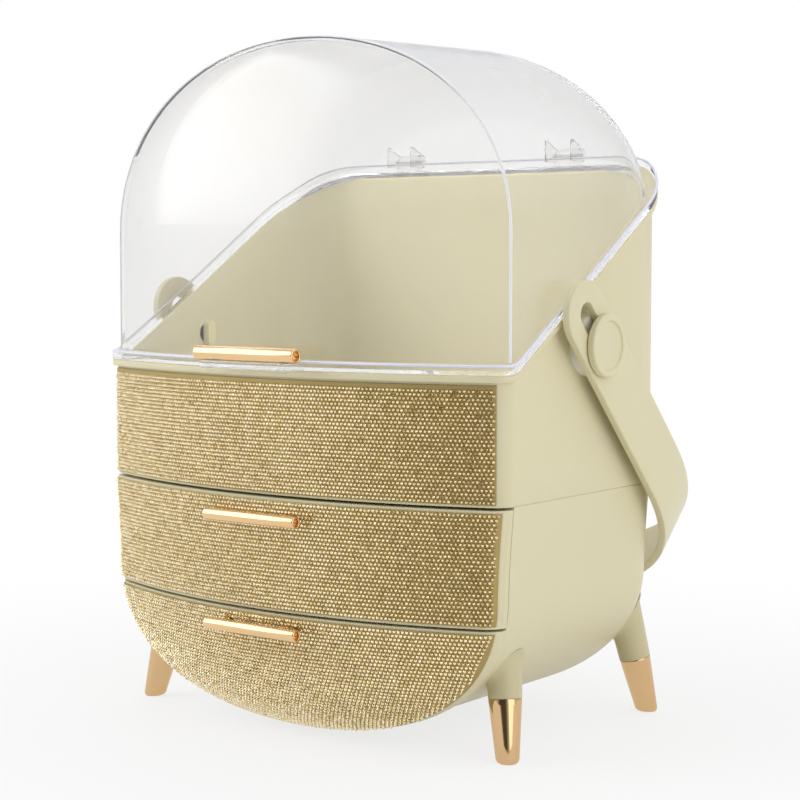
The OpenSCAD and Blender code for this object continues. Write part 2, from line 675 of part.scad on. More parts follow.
// Half of the hood's section at depth y, from the height z0 up to the top, inset by d.
function hood_half(y, z0, d) = let (a0 = z0 < arch_z ? 0 : arch_angle(z0, y, d))
  z0 < arch_z
    ? [for (k = [0:WALL_STEPS - 1]) [hood_w - d, z0 + (arch_z - z0) * k / WALL_STEPS],
       for (k = [0:ARCH_STEPS]) arch_point(90 * k / ARCH_STEPS, y, d)]
    : let (steps = ARCH_STEPS + WALL_STEPS)
      [for (k = [0:steps]) arch_point(a0 + (90 - a0) * k / steps, y, d)];
// A row at depth y; `a` is the back corner's angle, `t` the wall's inset.
function hood_row(y, a, t, low) = let (
    yy = a == 0 ? y : fillet_y + (back_r - t) * sin(a),
    d = back_r - (back_r - t) * cos(a),
    z0 = low ? flange_low(yy) : flange_top(yy),
    h = hood_half(yy, z0, d),
    n = len(h) - 1)
  [for (k = [0:n]) [-h[k][0], yy, h[k][1]], for (k = [n - 1:-1:0]) [h[k][0], yy, h[k][1]]];
// Stations along the depth, each [depth, back corner angle, front corner angle].
hood_stations = [
  [crease_y, 0, 45], [crease_y / 2, 0, 67.5], [0, 0, 90],
  for (y = [rim_bend / 2, rim_bend, fillet_y / 3, fillet_y * 2 / 3]) [y, 0, 90],
  for (i = [0:BACK_TURNS]) [fillet_y, 90 * i / BACK_TURNS, 90]];
hood_rows = len(hood_stations);
hood_cols = 2 * (ARCH_STEPS + WALL_STEPS) + 1;
FACE_COLS = 18;
// The bulged front between two mirrored points of a row; the wall's inset moves it inwards.
function face_level(p, y0, w0, i) = let (
    u = 2 * i / FACE_COLS - 1,
    depth = (bow - hood_in + crease_y) * pow(abs(p[0]) / w0, bulge_p),
    sag = bow_r - sqrt(bow_r * bow_r - hood_w * hood_w),
    f = 1 - (bow_r - sqrt(bow_r * bow_r - pow(u * hood_w, 2))) / sag)
  [-p[0] * u, y0 - depth * f, p[2]];
levels = ARCH_STEPS + WALL_STEPS;
function hood_surface(t, low) = let (first = hood_row(crease_y + t, 0, t, low)) [
  for (s = hood_stations)
    each hood_row(s[0] + t * max(0, 1 - (s[0] - crease_y) / (2 * rim_bend)), s[1], t, low),
  for (k = [0:levels - 1]) for (i = [1:FACE_COLS - 1])
    face_level(first[k], crease_y + t, abs(first[0][0]), i)];
hood_grid_size = hood_rows * hood_cols;
hood_surface_size = hood_grid_size + levels * (FACE_COLS - 1);
// Indices of one level of the bulged front, from left to right.
function face_row(base, k) = [base + k,
  for (i = [1:FACE_COLS - 1]) base + hood_grid_size + k * (FACE_COLS - 1) + i - 1,
  base + hood_cols - 1 - k];
function surface_faces(base) = let (
    last = [for (c = [0:hood_cols - 1]) base + (hood_rows - 1) * hood_cols + c]) concat(
  quads(base, hood_rows, hood_cols),
  closed_arc(reversed(last)),
  [for (k = [0:levels - 2]) each strip(face_row(base, k), face_row(base, k + 1))],
  let (top = face_row(base, levels - 1), tip = base + levels)
    [for (i = [0:FACE_COLS - 1]) [tip, top[i], top[i + 1]]]);
// The edge loop of a surface: left side to the back, right side to the front, then along the front.
function edge_loop(base) = concat(
  [for (r = [0:hood_rows - 1]) base + r * hood_cols],
  [for (r = [hood_rows - 1:-1:0]) base + r * hood_cols + hood_cols - 1],
  [for (i = [FACE_COLS - 1:-1:1]) base + hood_grid_size + i - 1],
  [base]);
flange_front = [for (i = [1:FACE_COLS - 1]) let (u = 2 * i / FACE_COLS - 1)
  front_point(sign(u) * min(45, bow_turn * abs(u) * 1.12), lip_out)];
flange_side = [for (s = hood_stations)
  s[1] != 0 ? back_point(s[1], -lip_out)
    : s[2] < 90 ? front_point(s[2], lip_out)
    : [half + lip_out, s[0]]];
flange_plan = concat(
  [for (p = flange_side) [-p[0], p[1]]], reversed(flange_side), reversed(flange_front));
module hood_shell() {
  n = len(flange_plan);
  ring = 2 * hood_surface_size;
  loop = function(base) concat([for (i = [0:n - 1]) base + i], [base]);
  turned_polyhedron(
    concat(
      hood_surface(0, false),
      hood_surface(hood_t, true),
      [for (p = flange_plan) [p[0], p[1], flange_top(p[1])]],
      [for (p = flange_plan) [p[0], p[1], flange_low(p[1])]]),
    concat(
      surface_faces(0),
      [for (f = surface_faces(hood_surface_size)) reversed(f)],
      strip(edge_loop(0), loop(ring)),
      strip(loop(ring), loop(ring + n)),
      strip(loop(ring + n), edge_loop(hood_surface_size))));
}
// The tab that carries the hood's bar: thickness, share of the bar's length, how far it stands in
// front of the bar's middle and how far it reaches into the flange.
tab_t = 3.8;
tab_share = 0.9;
tab_out = 1.5;
tab_in = 2;
tab_top = flange_low(-bow) + tab_t;
hood_bar_z = tab_top + hood_bar_r + 0.05;
hood_post_x = 24;
// Feet of a hinge rib below and above the pin, and how deep the rib is set into the back wall.
rib_low = 3.5;
rib_high = 9;
rib_y = case_d - hood_t + 0.5;
module rib() across(rib_t) polygon([
  [rib_y, hinge_z - rib_low], [hinge_y, hinge_z - knuckle_r], [hinge_y + knuckle_r, hinge_z],
  [hinge_y, hinge_z + knuckle_r], [rib_y, hinge_z + rib_high]]);
module hood() color(clear) difference() {
  union() {
    hood_shell();
    translate([-hood_bar_l * tab_share / 2, hood_bar_y - tab_out, flange_low(-bow)])
      cube([hood_bar_l * tab_share, hood_bar_out + tab_out + tab_in, tab_t]);
    for (s = [-1, 1], r = [-1, 1])
      translate([s * hinge_x + r * (lug_w + rib_t + 0.8) / 2, 0, 0]) rib();
  }
  for (s = [-1, 1]) {
    translate([s * hinge_x, hinge_y, hinge_z]) rotate([0, 90, 0])
      cylinder(r = pin_r + 0.15, h = lug_w + 4 * rib_t + 2, center = true, $fn = 32);
    translate([s * hood_post_x, hood_bar_y, 0]) cylinder(r = screw_r + 0.2, h = tab_top + 1, $fn = 32);
  }
}
module hood_bar() color(gold) difference() {
  translate([0, hood_bar_y, hood_bar_z]) bar(hood_bar_l, hood_bar_r);
  for (s = [-1, 1]) translate([s * hood_post_x, hood_bar_y, tab_top - 1])
    cylinder(r = screw_r, h = hood_bar_z - tab_top + 1 + eps, $fn = 32);
}
tab_head_t = 1.4;
module hood_bar_screws() color(steel) for (s = [-1, 1]) translate([s * hood_post_x, hood_bar_y, 0]) {
  translate([0, 0, flange_low(-bow) - tab_head_t]) cylinder(r = head_r, h = tab_head_t, $fn = 32);
  translate([0, 0, flange_low(-bow) - eps])
    cylinder(r = screw_r, h = hood_bar_z - flange_low(-bow), $fn = 32);
}

// ---- carry strap and its pivots ----
button_x = strap_x + strap_t + strap_gap;
module on_side(s, x) translate([s * x, pivot_y, pivot_z]) rotate([0, s * 90, 0]) children();
module washer(s) color(pale) on_side(s, half) difference() {
  cylinder(r = washer_r, h = washer_t, $fn = 96);
  translate([0, 0, -1]) cylinder(r = shaft_r + 0.15, h = washer_t + 2, $fn = 64);
}
module button(s) color(cream) on_side(s, button_x) difference() {
  union() {
    cylinder(r = button_r, h = button_t, $fn = 96);
    translate([0, 0, half - wall - button_x])
      cylinder(r = shaft_r, h = button_x - half + wall + eps, $fn = 64);
  }
  translate([0, 0, button_t - dish_t]) cylinder(r = dish_r, h = dish_t + 1, $fn = 96);
}
module clip(s) color(pale) translate([s * (half - wall - clip_t / 2), pivot_y, pivot_z]) rotate([0, 90, 0])
  linear_extrude(clip_t, center = true) {
    square([clip_h - clip_w, clip_w], center = true);
    for (e = [-1, 1]) translate([e * (clip_h - clip_w) / 2, 0]) circle(d = clip_w, $fn = 48);
  }
// The strap is drawn hanging straight down from its pivot, then swung back to where it rests.
BEND_STEPS = 32;
arm_top = slot_travel + strap_w / 2;
// One side of the strap's section, inset by d: down the right arm, round the bend, up the left arm.
function bend_point(i, d) = quarter(90 * i / BEND_STEPS, bend_r, strap_drop, strap_n, d);
function strap_side(d) = concat(
  [[bend_r - d, arm_top]],
  [for (i = [0:BEND_STEPS]) let (p = bend_point(i, d)) [p[0], -strap_arm - p[1]]],
  [for (i = [BEND_STEPS - 1:-1:0]) let (p = bend_point(i, d)) [-p[0], -strap_arm - p[1]]],
  [[d - bend_r, arm_top]]);
module carry_strap() color(cream) translate([0, pivot_y, pivot_z]) rotate([strap_rest, 0, 0]) difference() {
  rotate([90, 0, 0]) linear_extrude(strap_w, center = true)
    polygon(concat(strap_side(0), reversed(strap_side(strap_t))));
  across(4 * bend_r) translate([0, slot_travel]) difference() {
    translate([-strap_w, 0]) square([2 * strap_w, strap_w]);
    circle(d = strap_w, $fn = 96);
  }
  across(4 * bend_r) hull() for (z = [0, slot_travel]) translate([0, z]) circle(d = slot_w, $fn = 64);
}

// ---- legs ----
// Puts children on a leg's middle line, with z = 0 at the floor; sx and back choose the corner.
leg_long = norm([splay, splay, 1]);
module on_leg(sx, back) translate([sx * foot_x, back ? case_d - foot_in : foot_in, 0])
  rotate([0, acos(1 / leg_long), atan2(back ? -splay : splay, -sx * splay)]) children();
tip_l = tip_h * leg_long;
// Legs are drawn up to this far below the spring line and cut to the casing.
leg_under = 5;
leg_l = (spring_z - leg_under) * leg_long;
// Play at the end of a spigot, and how far a tip is drawn past the floor before it is cut flat.
spigot_play = 0.3;
tip_past = 4;
module leg(sx, back) color(cream) difference() {
  on_leg(sx, back) {
    translate([0, 0, tip_l]) cylinder(r1 = leg_r, r2 = leg_top_r, h = leg_l - tip_l, $fn = 96);
    translate([0, 0, tip_l - spigot_l]) cylinder(r = spigot_r, h = spigot_l + 1, $fn = 48);
  }
  casing_block();
}
module tip(sx, back) color(gold) intersection() {
  on_leg(sx, back) difference() {
    translate([0, 0, -tip_past])
      cylinder(r1 = tip_r - (leg_r - tip_r) * tip_past / tip_l, r2 = leg_r, h = tip_l + tip_past, $fn = 96);
    translate([0, 0, tip_l - spigot_l - spigot_play])
      cylinder(r = spigot_r + 0.05, h = spigot_l + spigot_play + 1, $fn = 48);
  }
  translate([-case_w, -case_w, 0]) cube([2 * case_w, 3 * case_w, spring_z]);
}
// The height at which a leg's middle line meets the inside of the casing, by halving.
function leg_meets(inset, lo, hi, n = 20) = let (mid = (lo + hi) / 2)
  n == 0 ? mid : foot_x - splay * mid > belly_x(mid, wall + inset)
    ? leg_meets(inset, mid, hi, n - 1) : leg_meets(inset, lo, mid, n - 1);
// Height at which the back corner's inset is measured for the back legs.
inset_z = 50;
leg_inset = back_r - sqrt(back_r * back_r - pow(max(0, back_r - foot_in - splay * inset_z), 2));
leg_screw_r = 1.6;
leg_screw_l = 16;
leg_head_r = 3.2;
leg_head_t = 2.2;
module leg_screws() color(steel) for (sx = [-1, 1], back = [false, true])
  let (z = leg_meets(back ? leg_inset : 0, belly_z + wall, spring_z) * leg_long)
    on_leg(sx, back) {
      translate([0, 0, z - leg_screw_l]) cylinder(r = leg_screw_r, h = leg_screw_l + eps, $fn = 32);
      translate([0, 0, z]) cylinder(r = leg_head_r, h = leg_head_t, $fn = 32);
    }

place() lower_casing();
place() drawer_shelf();
place() lower_runners();
place() drawer_stops();
place() casing_screws();
place() upper_tub();
place() tub_stone_sheet();
place() hinge_pin(-1);  // hinge_pin_left
place() hinge_pin(1);  // hinge_pin_right
place() button(-1);  // button_left
place() button(1);  // button_right
place() clip(-1);  // clip_left
place() clip(1);  // clip_right
place() leg(-1, false);  // leg_front_left
place() leg(1, false);  // leg_front_right
place() leg(-1, true);  // leg_back_left
place() leg(1, true);  // leg_back_right
place() tip(-1, false);  // tip_front_left
place() tip(1, false);  // tip_front_right
place() tip(-1, true);  // tip_back_left
place() tip(1, true);  // tip_back_right
place() leg_screws();
place() hood();
place() hood_bar();
place() hood_bar_screws();
place() upper_drawer_tray();
place() upper_drawer_front();
place() upper_stone_sheet();
place() drawer_bar(upper_bar_z);  // upper_bar
place() drawer_bar_screws(upper_bar_z);  // upper_bar_screws
place() lower_drawer_tray();
place() lower_drawer_front();
place() lower_stone_sheet();
place() drawer_bar(lower_bar_z);  // lower_bar
place() drawer_bar_screws(lower_bar_z);  // lower_bar_screws
place() washer(-1);  // washer_left
place() washer(1);  // washer_right
place() carry_strap();
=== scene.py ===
# %% [markdown]
# # A vanity organizer on splayed legs
# The object is a moulded cream casing with two drawers, an open tub above them, a clear hinged
# hood and a carry strap on two side buttons. The front is covered with small glued stones.
# The rigid frame is loaded first, so that every new piece is made around it, in the same metres.

# %% The frame
import math
import bpy
import numpy as np
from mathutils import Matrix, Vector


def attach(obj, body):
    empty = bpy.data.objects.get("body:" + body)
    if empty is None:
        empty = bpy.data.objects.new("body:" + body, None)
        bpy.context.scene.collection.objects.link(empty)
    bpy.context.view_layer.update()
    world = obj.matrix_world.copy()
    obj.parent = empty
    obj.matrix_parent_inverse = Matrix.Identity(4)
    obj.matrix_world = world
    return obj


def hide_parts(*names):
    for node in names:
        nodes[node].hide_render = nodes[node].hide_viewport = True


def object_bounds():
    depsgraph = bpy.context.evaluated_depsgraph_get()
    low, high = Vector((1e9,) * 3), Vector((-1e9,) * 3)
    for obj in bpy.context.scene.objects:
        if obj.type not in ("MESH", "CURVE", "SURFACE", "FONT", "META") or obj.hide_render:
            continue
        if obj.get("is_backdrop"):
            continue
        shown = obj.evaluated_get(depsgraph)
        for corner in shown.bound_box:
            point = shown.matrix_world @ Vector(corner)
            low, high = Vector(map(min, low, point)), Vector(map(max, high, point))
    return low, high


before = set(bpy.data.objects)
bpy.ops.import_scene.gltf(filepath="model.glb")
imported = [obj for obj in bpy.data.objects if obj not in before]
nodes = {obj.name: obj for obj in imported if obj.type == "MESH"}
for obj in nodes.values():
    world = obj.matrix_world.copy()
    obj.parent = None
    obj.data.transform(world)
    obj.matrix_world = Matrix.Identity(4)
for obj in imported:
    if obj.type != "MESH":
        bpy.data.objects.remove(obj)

cad_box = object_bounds()

# %% [markdown]
# The sizes below are the ones the frame was made with, in millimetres. They are drawn in a
# workshop frame whose Y is 0 at the front opening. place() moves points from there to the frame
# in metres. Writing the sizes once here keeps each shape formula short.

# %% Sizes, in millimetres
CASE_W, CASE_D, WALL, BACK_R, FRONT_R, BOW_R = 270, 162, 3, 40, 12, 350
SEAM_Z, SPRING_Z, BELLY_Z, BELLY_N, LEAN = 132, 85, 5.5, 2.15, 3
LEDGE_W, LEDGE_T, LEDGE_DRAFT = 11, 6, 1
RIM_Z, RIM_SLOPE, RIM_BEND, RIM_LEAD, LIP_OUT, LIP_T = 197, 0.64, 3, 3, 3, 3.5
BACK_LIFT, LIFT_FROM, LIFT_TO = 2.5, 0.5, 0.95
HOOD_T, HOOD_IN, FLANGE_T, FLANGE_GAP = 2.5, 0.5, 5, 0.3
ARCH_Z, ARCH_H, ARCH_RISE, ARCH_N, BULGE_P = 266, 104, 5, 2.12, 1.2
HINGE_X, HINGE_OUT, HINGE_UP, LUG_W, KNUCKLE_R = 57, 8.5, 8.4, 14, 4
RIB_T, RIB_GAP, RIB_LOW, RIB_HIGH = 2.5, 0.8, 3.5, 9
STRAP_W, STRAP_T, STRAP_ARM, STRAP_DROP, STRAP_N, STRAP_REST = 35.4, 4.2, 90, 105, 2.5, 43.4
SLOT_W, SLOT_TRAVEL, PIVOT_BACK, PIVOT_DROP = 12.4, 22, 96, 31.6
STRAP_GAP, WASHER_T, WASHER_R = 0.3, 5.5, 16
BUTTON_R, BUTTON_T, DISH_R, DISH_T = 16.3, 4.2, 12.4, 1.2
SEAM_2_Z, FRONT_Z, FRONT_N, FRONT_GAP, TOP_GAP = 70.8, 4.5, 2.25, 0.7, 1.4
GLUE_T, SHEET_END, TUB_EDGE, DRAWER_EDGE = 0.25, 1.3, 4.2, 1.7
HOOD_BAR_L, HOOD_BAR_R, HOOD_BAR_OUT, BAR_L, BAR_R, BAR_OUT = 68, 3.9, 8, 62.5, 3.25, 8.4
TAB_T, TAB_SHARE, TAB_OUT, TAB_IN = 3.8, 0.9, 1.5, 2
UPPER_DROP, LOWER_DROP, POST_X, POST_R = 10.4, 8.1, 22, 2.6
FOOT_X, FOOT_IN, SPLAY, TIP_H, TIP_R, LEG_R, LEG_TOP_R = 124.3, 10.9, 0.17, 31, 6, 8.7, 10.3
MM = 0.001
PIVOT_Y = CASE_D - PIVOT_BACK
half = CASE_W / 2
corner_x = half - FRONT_R
bow_y = math.sqrt((BOW_R - FRONT_R) ** 2 - corner_x ** 2)
bow = BOW_R - bow_y
bow_turn = math.asin(corner_x / (BOW_R - FRONT_R))
fillet_y = CASE_D - BACK_R
side_w = half - LEAN
strap_x = half + WASHER_T + STRAP_GAP
bend_r = strap_x + STRAP_T
hood_bar_y = -bow - LIP_OUT - HOOD_BAR_OUT
rest = math.radians(STRAP_REST)
back_most = PIVOT_Y + (STRAP_ARM + STRAP_DROP) * math.sin(rest) + STRAP_W / 2 * math.cos(rest)
MID_Y = (hood_bar_y - HOOD_BAR_R + back_most) / 2
box_error = cad_box[0][1] / MM + MID_Y - hood_bar_y + HOOD_BAR_R
print("middle", round(MID_Y, 3), "box error in mm", round(float(box_error), 3))


def place(p):
    """Workshop millimetres to frame metres: the middle of the footprint becomes the origin."""
    return (np.asarray(p, float) - [0, MID_Y, 0]) * MM

# %% [markdown]
# A surface here is an array of points with rows and columns, and one helper turns such arrays
# into quads. Another writes points and faces into a Blender mesh with foreach_set, which is the
# quick way for many thousands of them. Soft edges come from a Bevel limited by angle.

# %% Faces
def grid(rows, cols, base=0, wrap=False, flip=False):
    """Quads over a grid of rows x cols points: each joins a point to its right, upper right and
    upper neighbours. wrap joins the last column to the first."""
    r = np.arange(rows - 1)[:, None] * cols
    c = np.arange(cols if wrap else cols - 1)[None, :]
    d = (c + 1) % cols
    q = np.stack([r + c, r + d, r + cols + d, r + cols + c], -1).reshape(-1, 4) + base
    return q[:, ::-1] if flip else q


def capped(rows, cols):
    """Faces of a closed tube of rings: the wrapped grid and one flat face on each end ring."""
    around = np.arange(cols)
    return [grid(rows, cols, wrap=True), around[::-1], (rows - 1) * cols + around]


def bridge(u, v):
    """Quads between two equal index lists, running along both."""
    u, v = np.asarray(u), np.asarray(v)
    return np.stack([u[:-1], u[1:], v[1:], v[:-1]], -1)


def folded(row):
    """Closes a flat arc whose left and right halves mirror each other: quads between mirrored
    points and one triangle at the middle point."""
    m = len(row) // 2
    left, right = row[:m], row[::-1][:m]
    return [bridge(left, right), np.array([[left[-1], row[m], right[-1]]])]


def turned(faces):
    """The same faces seen from the other side."""
    return [np.atleast_2d(f)[:, ::-1] for f in faces]


def join(parts):
    """Puts (points, faces) pairs together as one, shifting each part's indices."""
    points, faces, base = [], [], 0
    for p, f in parts:
        points.append(np.asarray(p, float).reshape(-1, 3))
        faces += [np.atleast_2d(g) + base for g in f]
        base += len(points[-1])
    return np.concatenate(points), faces


print("a square tube has", len(grid(2, 4, wrap=True)), "sides")


# %% [markdown]
# Every new piece is finished in the same few steps: a mesh, an object at the origin, a
# material, a soft edge, and the words that tie it to the frame: which body it rides on and
# which CAD parts it stands for, which are then hidden. One function keeps that the same for
# all.

# %% Meshes and pieces
def new_mesh(name, points, faces, sharp=30.0):
    """A mesh from points in millimetres and a list of face arrays with 3, 4 or n columns. Edges
    above the sharp angle stay sharp, and with None every face is flat."""
    mesh = bpy.data.meshes.new(name)
    faces = [np.atleast_2d(np.asarray(f)) for f in faces if len(f)]
    counts = np.concatenate([np.full(len(f), f.shape[1]) for f in faces])
    starts = np.concatenate([[0], np.cumsum(counts)[:-1]]).astype(np.int32)
    loops = np.concatenate([f.ravel() for f in faces])
    points = place(points)
    mesh.vertices.add(len(points))
    mesh.vertices.foreach_set("co", points.ravel())
    mesh.loops.add(len(loops))
    mesh.loops.foreach_set("vertex_index", loops.astype(np.int32))
    mesh.polygons.add(len(counts))
    mesh.polygons.foreach_set("loop_start", starts)
    mesh.update(calc_edges=True)
    mesh.validate()
    mesh.polygons.foreach_set("use_smooth", np.full(len(mesh.polygons), sharp is not None))
    if sharp is not None:
        mesh.set_sharp_from_angle(angle=math.radians(sharp))
    return mesh


def soften(obj, width, segments=2, angle=40):
    """Rounds the edges whose faces meet at more than an angle, given in degrees."""
    mod = obj.modifiers.new("soft edges", "BEVEL")
    mod.width = width * MM
    mod.segments = segments
    mod.limit_method = "ANGLE"
    mod.angle_limit = math.radians(angle)


def piece(name, shape, body, material, stands_for=(), bevel=0.0, segments=2, sharp=30.0):
    """A finished piece from (points, faces): it rides on its body and may stand
    for CAD nodes."""
    mesh = new_mesh(name, *shape, sharp)
    obj = bpy.data.objects.new(name, mesh)
    bpy.context.scene.collection.objects.link(obj)
    mesh.materials.append(material)
    if bevel:
        soften(obj, bevel, segments)
    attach(obj, body)
    if stands_for:
        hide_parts(*stands_for)
    print(name, len(mesh.vertices), "points", len(mesh.polygons), "faces")
    return obj


def give(obj, name, domain, values):
    """Stores one number for each point or face of a piece, for its material to read."""
    layer = obj.data.attributes.new(name, "FLOAT", domain)
    layer.data.foreach_set("value", np.asarray(values, np.float32))


print("meshes so far", len(bpy.data.meshes))


# %% [markdown]
# Knobs, rods, posts and washers are turned parts, which are a profile carried round an axis. A
# bead is a ring carried along a path. Both need directions round an axis, which two cross
# products give, so no shape has to be turned or moved as an object afterwards.

# %% Rings, turned shapes and paths
def unit(v):
    """Each vector of an array scaled to length 1."""
    return v / np.linalg.norm(v, axis=-1, keepdims=True)


def run_along(p):
    """The length of a path up to each of its points."""
    return np.concatenate([[0], np.cumsum(np.linalg.norm(np.diff(p, axis=0), axis=1))])


def ring_round(axis, turns, across=(0, 0, 1)):
    """Directions round an axis, or round each axis of an array: cos(a) u + sin(a) v, where u is
    the cross product of the axis with across, and v the one of the axis with u."""
    u = unit(np.cross(axis, across))
    v = np.cross(axis, u)
    a = np.linspace(0, 2 * np.pi, turns, endpoint=False)[:, None]
    return np.cos(a) * u[..., None, :] + np.sin(a) * v[..., None, :]


def lathe(profile, origin, axis, turns=64, closed=False):
    """A turned shape: profile holds (radius, distance along the axis) and is carried round the
    axis. A closed profile joins its last ring to its first, and an open one gets end faces."""
    axis = unit(np.asarray(axis, float))
    p = np.asarray(profile, float)
    points = np.asarray(origin, float) + p[:, 0, None, None] * ring_round(axis, turns)
    points = points + p[:, 1, None, None] * axis
    faces = capped(len(p), turns)
    if closed:
        around = np.append(np.arange(turns), 0)
        faces = faces[:1] + [bridge((len(p) - 1) * turns + around, around)]
    return points.reshape(-1, 3), faces


def tube(path, radius, sides=10, across=(0, 1, 0)):
    """A round bead along a path: at each of its points a ring, the radius times the directions
    round the path's slope. The vector across is one that the path never runs along."""
    way = unit(np.gradient(path, axis=0))
    points = path[:, None] + radius * ring_round(way, sides, across)
    return points.reshape(-1, 3), capped(len(path), sides)


def extruded(outline, x, width):
    """A flat outline in (Y, Z) carried straight across a width around x, closed at both ends."""
    o = np.asarray(outline, float)
    ends = (x - width / 2, x + width / 2)
    p = np.concatenate([np.column_stack([np.full(len(o), x), o]) for x in ends])
    return p, capped(2, len(o))


def rounded(corners, radius=0.6, steps=3):
    """A profile whose inner corners are replaced by short arcs: on each corner the curve runs
    from a point p before it to a point q after it, as the blend (1-t)^2 p + 2t(1-t) b + t^2 q."""
    c = np.asarray(corners, float)
    t = np.linspace(0, 1, steps + 1)[:, None]
    out = [c[:1]]
    for a, b, d in zip(c[:-2], c[1:-1], c[2:]):
        r = min(radius, np.linalg.norm(a - b) * 0.45, np.linalg.norm(d - b) * 0.45)
        p, q = b + unit(a - b) * r, b + unit(d - b) * r
        out.append((1 - t) ** 2 * p + 2 * t * (1 - t) * b + t ** 2 * q)
    return np.concatenate(out + [c[-1:]])


print("a ring of 8 has the shape", ring_round(np.array([1, 0, 0]), 8).shape)

# %% [markdown]
# The camera stands low in front of the right corner, with a long lens, so the sides stay nearly
# parallel. Its place is given in the workshop's millimetres, as every shape is.

# %% Camera
CAMERA_AT, CAMERA_DOWN, CAMERA_TURN, LENS = [651.303, -771.690, 253.974], 4.261, 37.263, 85.353
camera_data = bpy.data.cameras.new("camera")
camera = bpy.data.objects.new("camera", camera_data)
bpy.context.scene.collection.objects.link(camera)
camera_data.sensor_width = 36
camera_data.lens = LENS
camera.location = place(CAMERA_AT)
camera.rotation_euler = (math.radians(90 - CAMERA_DOWN), 0, math.radians(CAMERA_TURN))
bpy.context.scene.camera = camera
bpy.context.scene.view_settings.view_transform = "Standard"
print("camera", [round(v, 3) for v in camera.location])


# %% [markdown]
# Materials and the world are built from nodes. A few helpers make a node with its constants and
# join many nodes in one call, so that each material below reads as a list of what feeds what.

# %% Nodes
def add(tree, kind, **settings):
    """A node with its properties set; keys that are socket names go to the sockets."""
    node = tree.nodes.new(kind)
    for key, value in settings.items():
        if key in node.inputs:
            node.inputs[key].default_value = value
        else:
            setattr(node, key, value)
    return node


def wire(tree, *links):
    """Joins nodes. Each link is (from node, output, to node, input)."""
    for start, output, end, into in links:
        tree.links.new(start.outputs[output], end.inputs[into])


def maths(tree, operation, fixed=None, kind="ShaderNodeMath"):
    """A Math or Vector Math node; fixed holds its constant inputs by number."""
    node = add(tree, kind, operation=operation)
    for number, value in (fixed or {}).items():
        node.inputs[number].default_value = value
    return node


def spread(tree, low, high, span=(0, 1), smooth="LINEAR"):
    """A Map Range node that takes the span to low and high."""
    node = add(tree, "ShaderNodeMapRange", interpolation_type=smooth)
    for key, value in zip(("From Min", "From Max", "To Min", "To Max"), (*span, low, high)):
        node.inputs[key].default_value = value
    return node


def ramp(tree, first, last, *between):
    """A colour ramp from first to last, with (position, colour) stops between them."""
    node = add(tree, "ShaderNodeValToRGB")
    stops = node.color_ramp.elements
    stops[0].color = (*first, 1)
    stops[1].color = (*last, 1)
    for position, colour in between:
        stops.new(position).color = (*colour, 1)
    return node


def noise(tree, scale, detail):
    """A noise texture that is fixed to the object."""
    node = add(tree, "ShaderNodeTexNoise", Scale=scale, Detail=detail)
    wire(tree, (add(tree, "ShaderNodeTexCoord"), "Object", node, "Vector"))
    return node


VECTOR_MATH = "ShaderNodeVectorMath"
print("materials so far", len(bpy.data.materials))

# %% [markdown]
# The world is white to the camera and through the clear plastic, which gives the plain white
# backdrop. As light it is a little darker. It also has a dark upright band on one side:
# polished metal only looks like metal when something dark stands in its reflection, and the
# band draws the streaks on the gold tips and bars.

# %% World
SKY_LIGHT, BAND_LIGHT, BAND_WAY, BAND_SPAN = 0.82, 0.08, (0.25, -0.968, 0), (0.74, 0.97)
world = bpy.data.worlds.new("studio")
bpy.context.scene.world = world
world.use_nodes = True
sky = world.node_tree
sky.nodes.clear()
final = add(sky, "ShaderNodeOutputWorld")
seen = add(sky, "ShaderNodeBackground", Color=(1, 1, 1, 1))
soft = add(sky, "ShaderNodeBackground", Color=(0.95, 0.96, 1, 1))
mix = add(sky, "ShaderNodeMixShader")
path = add(sky, "ShaderNodeLightPath")
either = maths(sky, "MAXIMUM")
way = add(sky, "ShaderNodeTexCoord")
flat = maths(sky, "MULTIPLY", {1: (1, 1, 0)}, VECTOR_MATH)
level = maths(sky, "NORMALIZE", kind=VECTOR_MATH)
facing = maths(sky, "DOT_PRODUCT", {1: BAND_WAY}, VECTOR_MATH)
dim = spread(sky, SKY_LIGHT, BAND_LIGHT, BAND_SPAN, "SMOOTHSTEP")
wire(sky, (way, "Generated", flat, 0), (flat, 0, level, 0), (level, 0, facing, 0),
     (facing, "Value", dim, "Value"), (dim, 0, soft, "Strength"),
     (path, "Is Camera Ray", either, 0), (path, "Is Transmission Ray", either, 1),
     (either, 0, mix, 0), (soft, 0, mix, 1), (seen, 0, mix, 2), (mix, 0, final, 0))
print("world ready")


# %% [markdown]
# Three large square lamps give a plain studio light. A large lamp makes a soft shadow edge. The
# key stands at the left and the fill at the right, so the right side of the casing is the
# darker one.

# %% Lamps
def lamp(name, where, target, size, watts):
    """A square area lamp, with its size in metres, that faces its target."""
    data = bpy.data.lights.new(name, "AREA")
    data.shape = "RECTANGLE"
    data.size = size
    data.size_y = size
    data.energy = watts
    obj = bpy.data.objects.new(name, data)
    bpy.context.scene.collection.objects.link(obj)
    obj.location = where
    d = np.asarray(target, float) - where
    tilt, turn = math.acos(-d[2] / np.linalg.norm(d)), math.atan2(d[1], d[0]) - math.pi / 2
    obj.rotation_euler = (tilt, 0, turn)


lamp("key", (-1.95, -1.4, 1.45), (0, -0.05, 0.2), 2.4, 36)
lamp("fill", (2.3, -0.5, 1.0), (0, 0, 0.2), 2.0, 15.6)
lamp("top", (0.1, 0.3, 2.2), (0, 0, 0.2), 2.0, 8)
print("lamps", len(bpy.data.lights))

# %% [markdown]
# The same few effects are wanted in several finishes: a faint mottling and fine grain for
# moulded plastic, and a soft unevenness for plated metal. Each is a node group with named
# inputs and outputs, built once. The shader itself stays in each material.

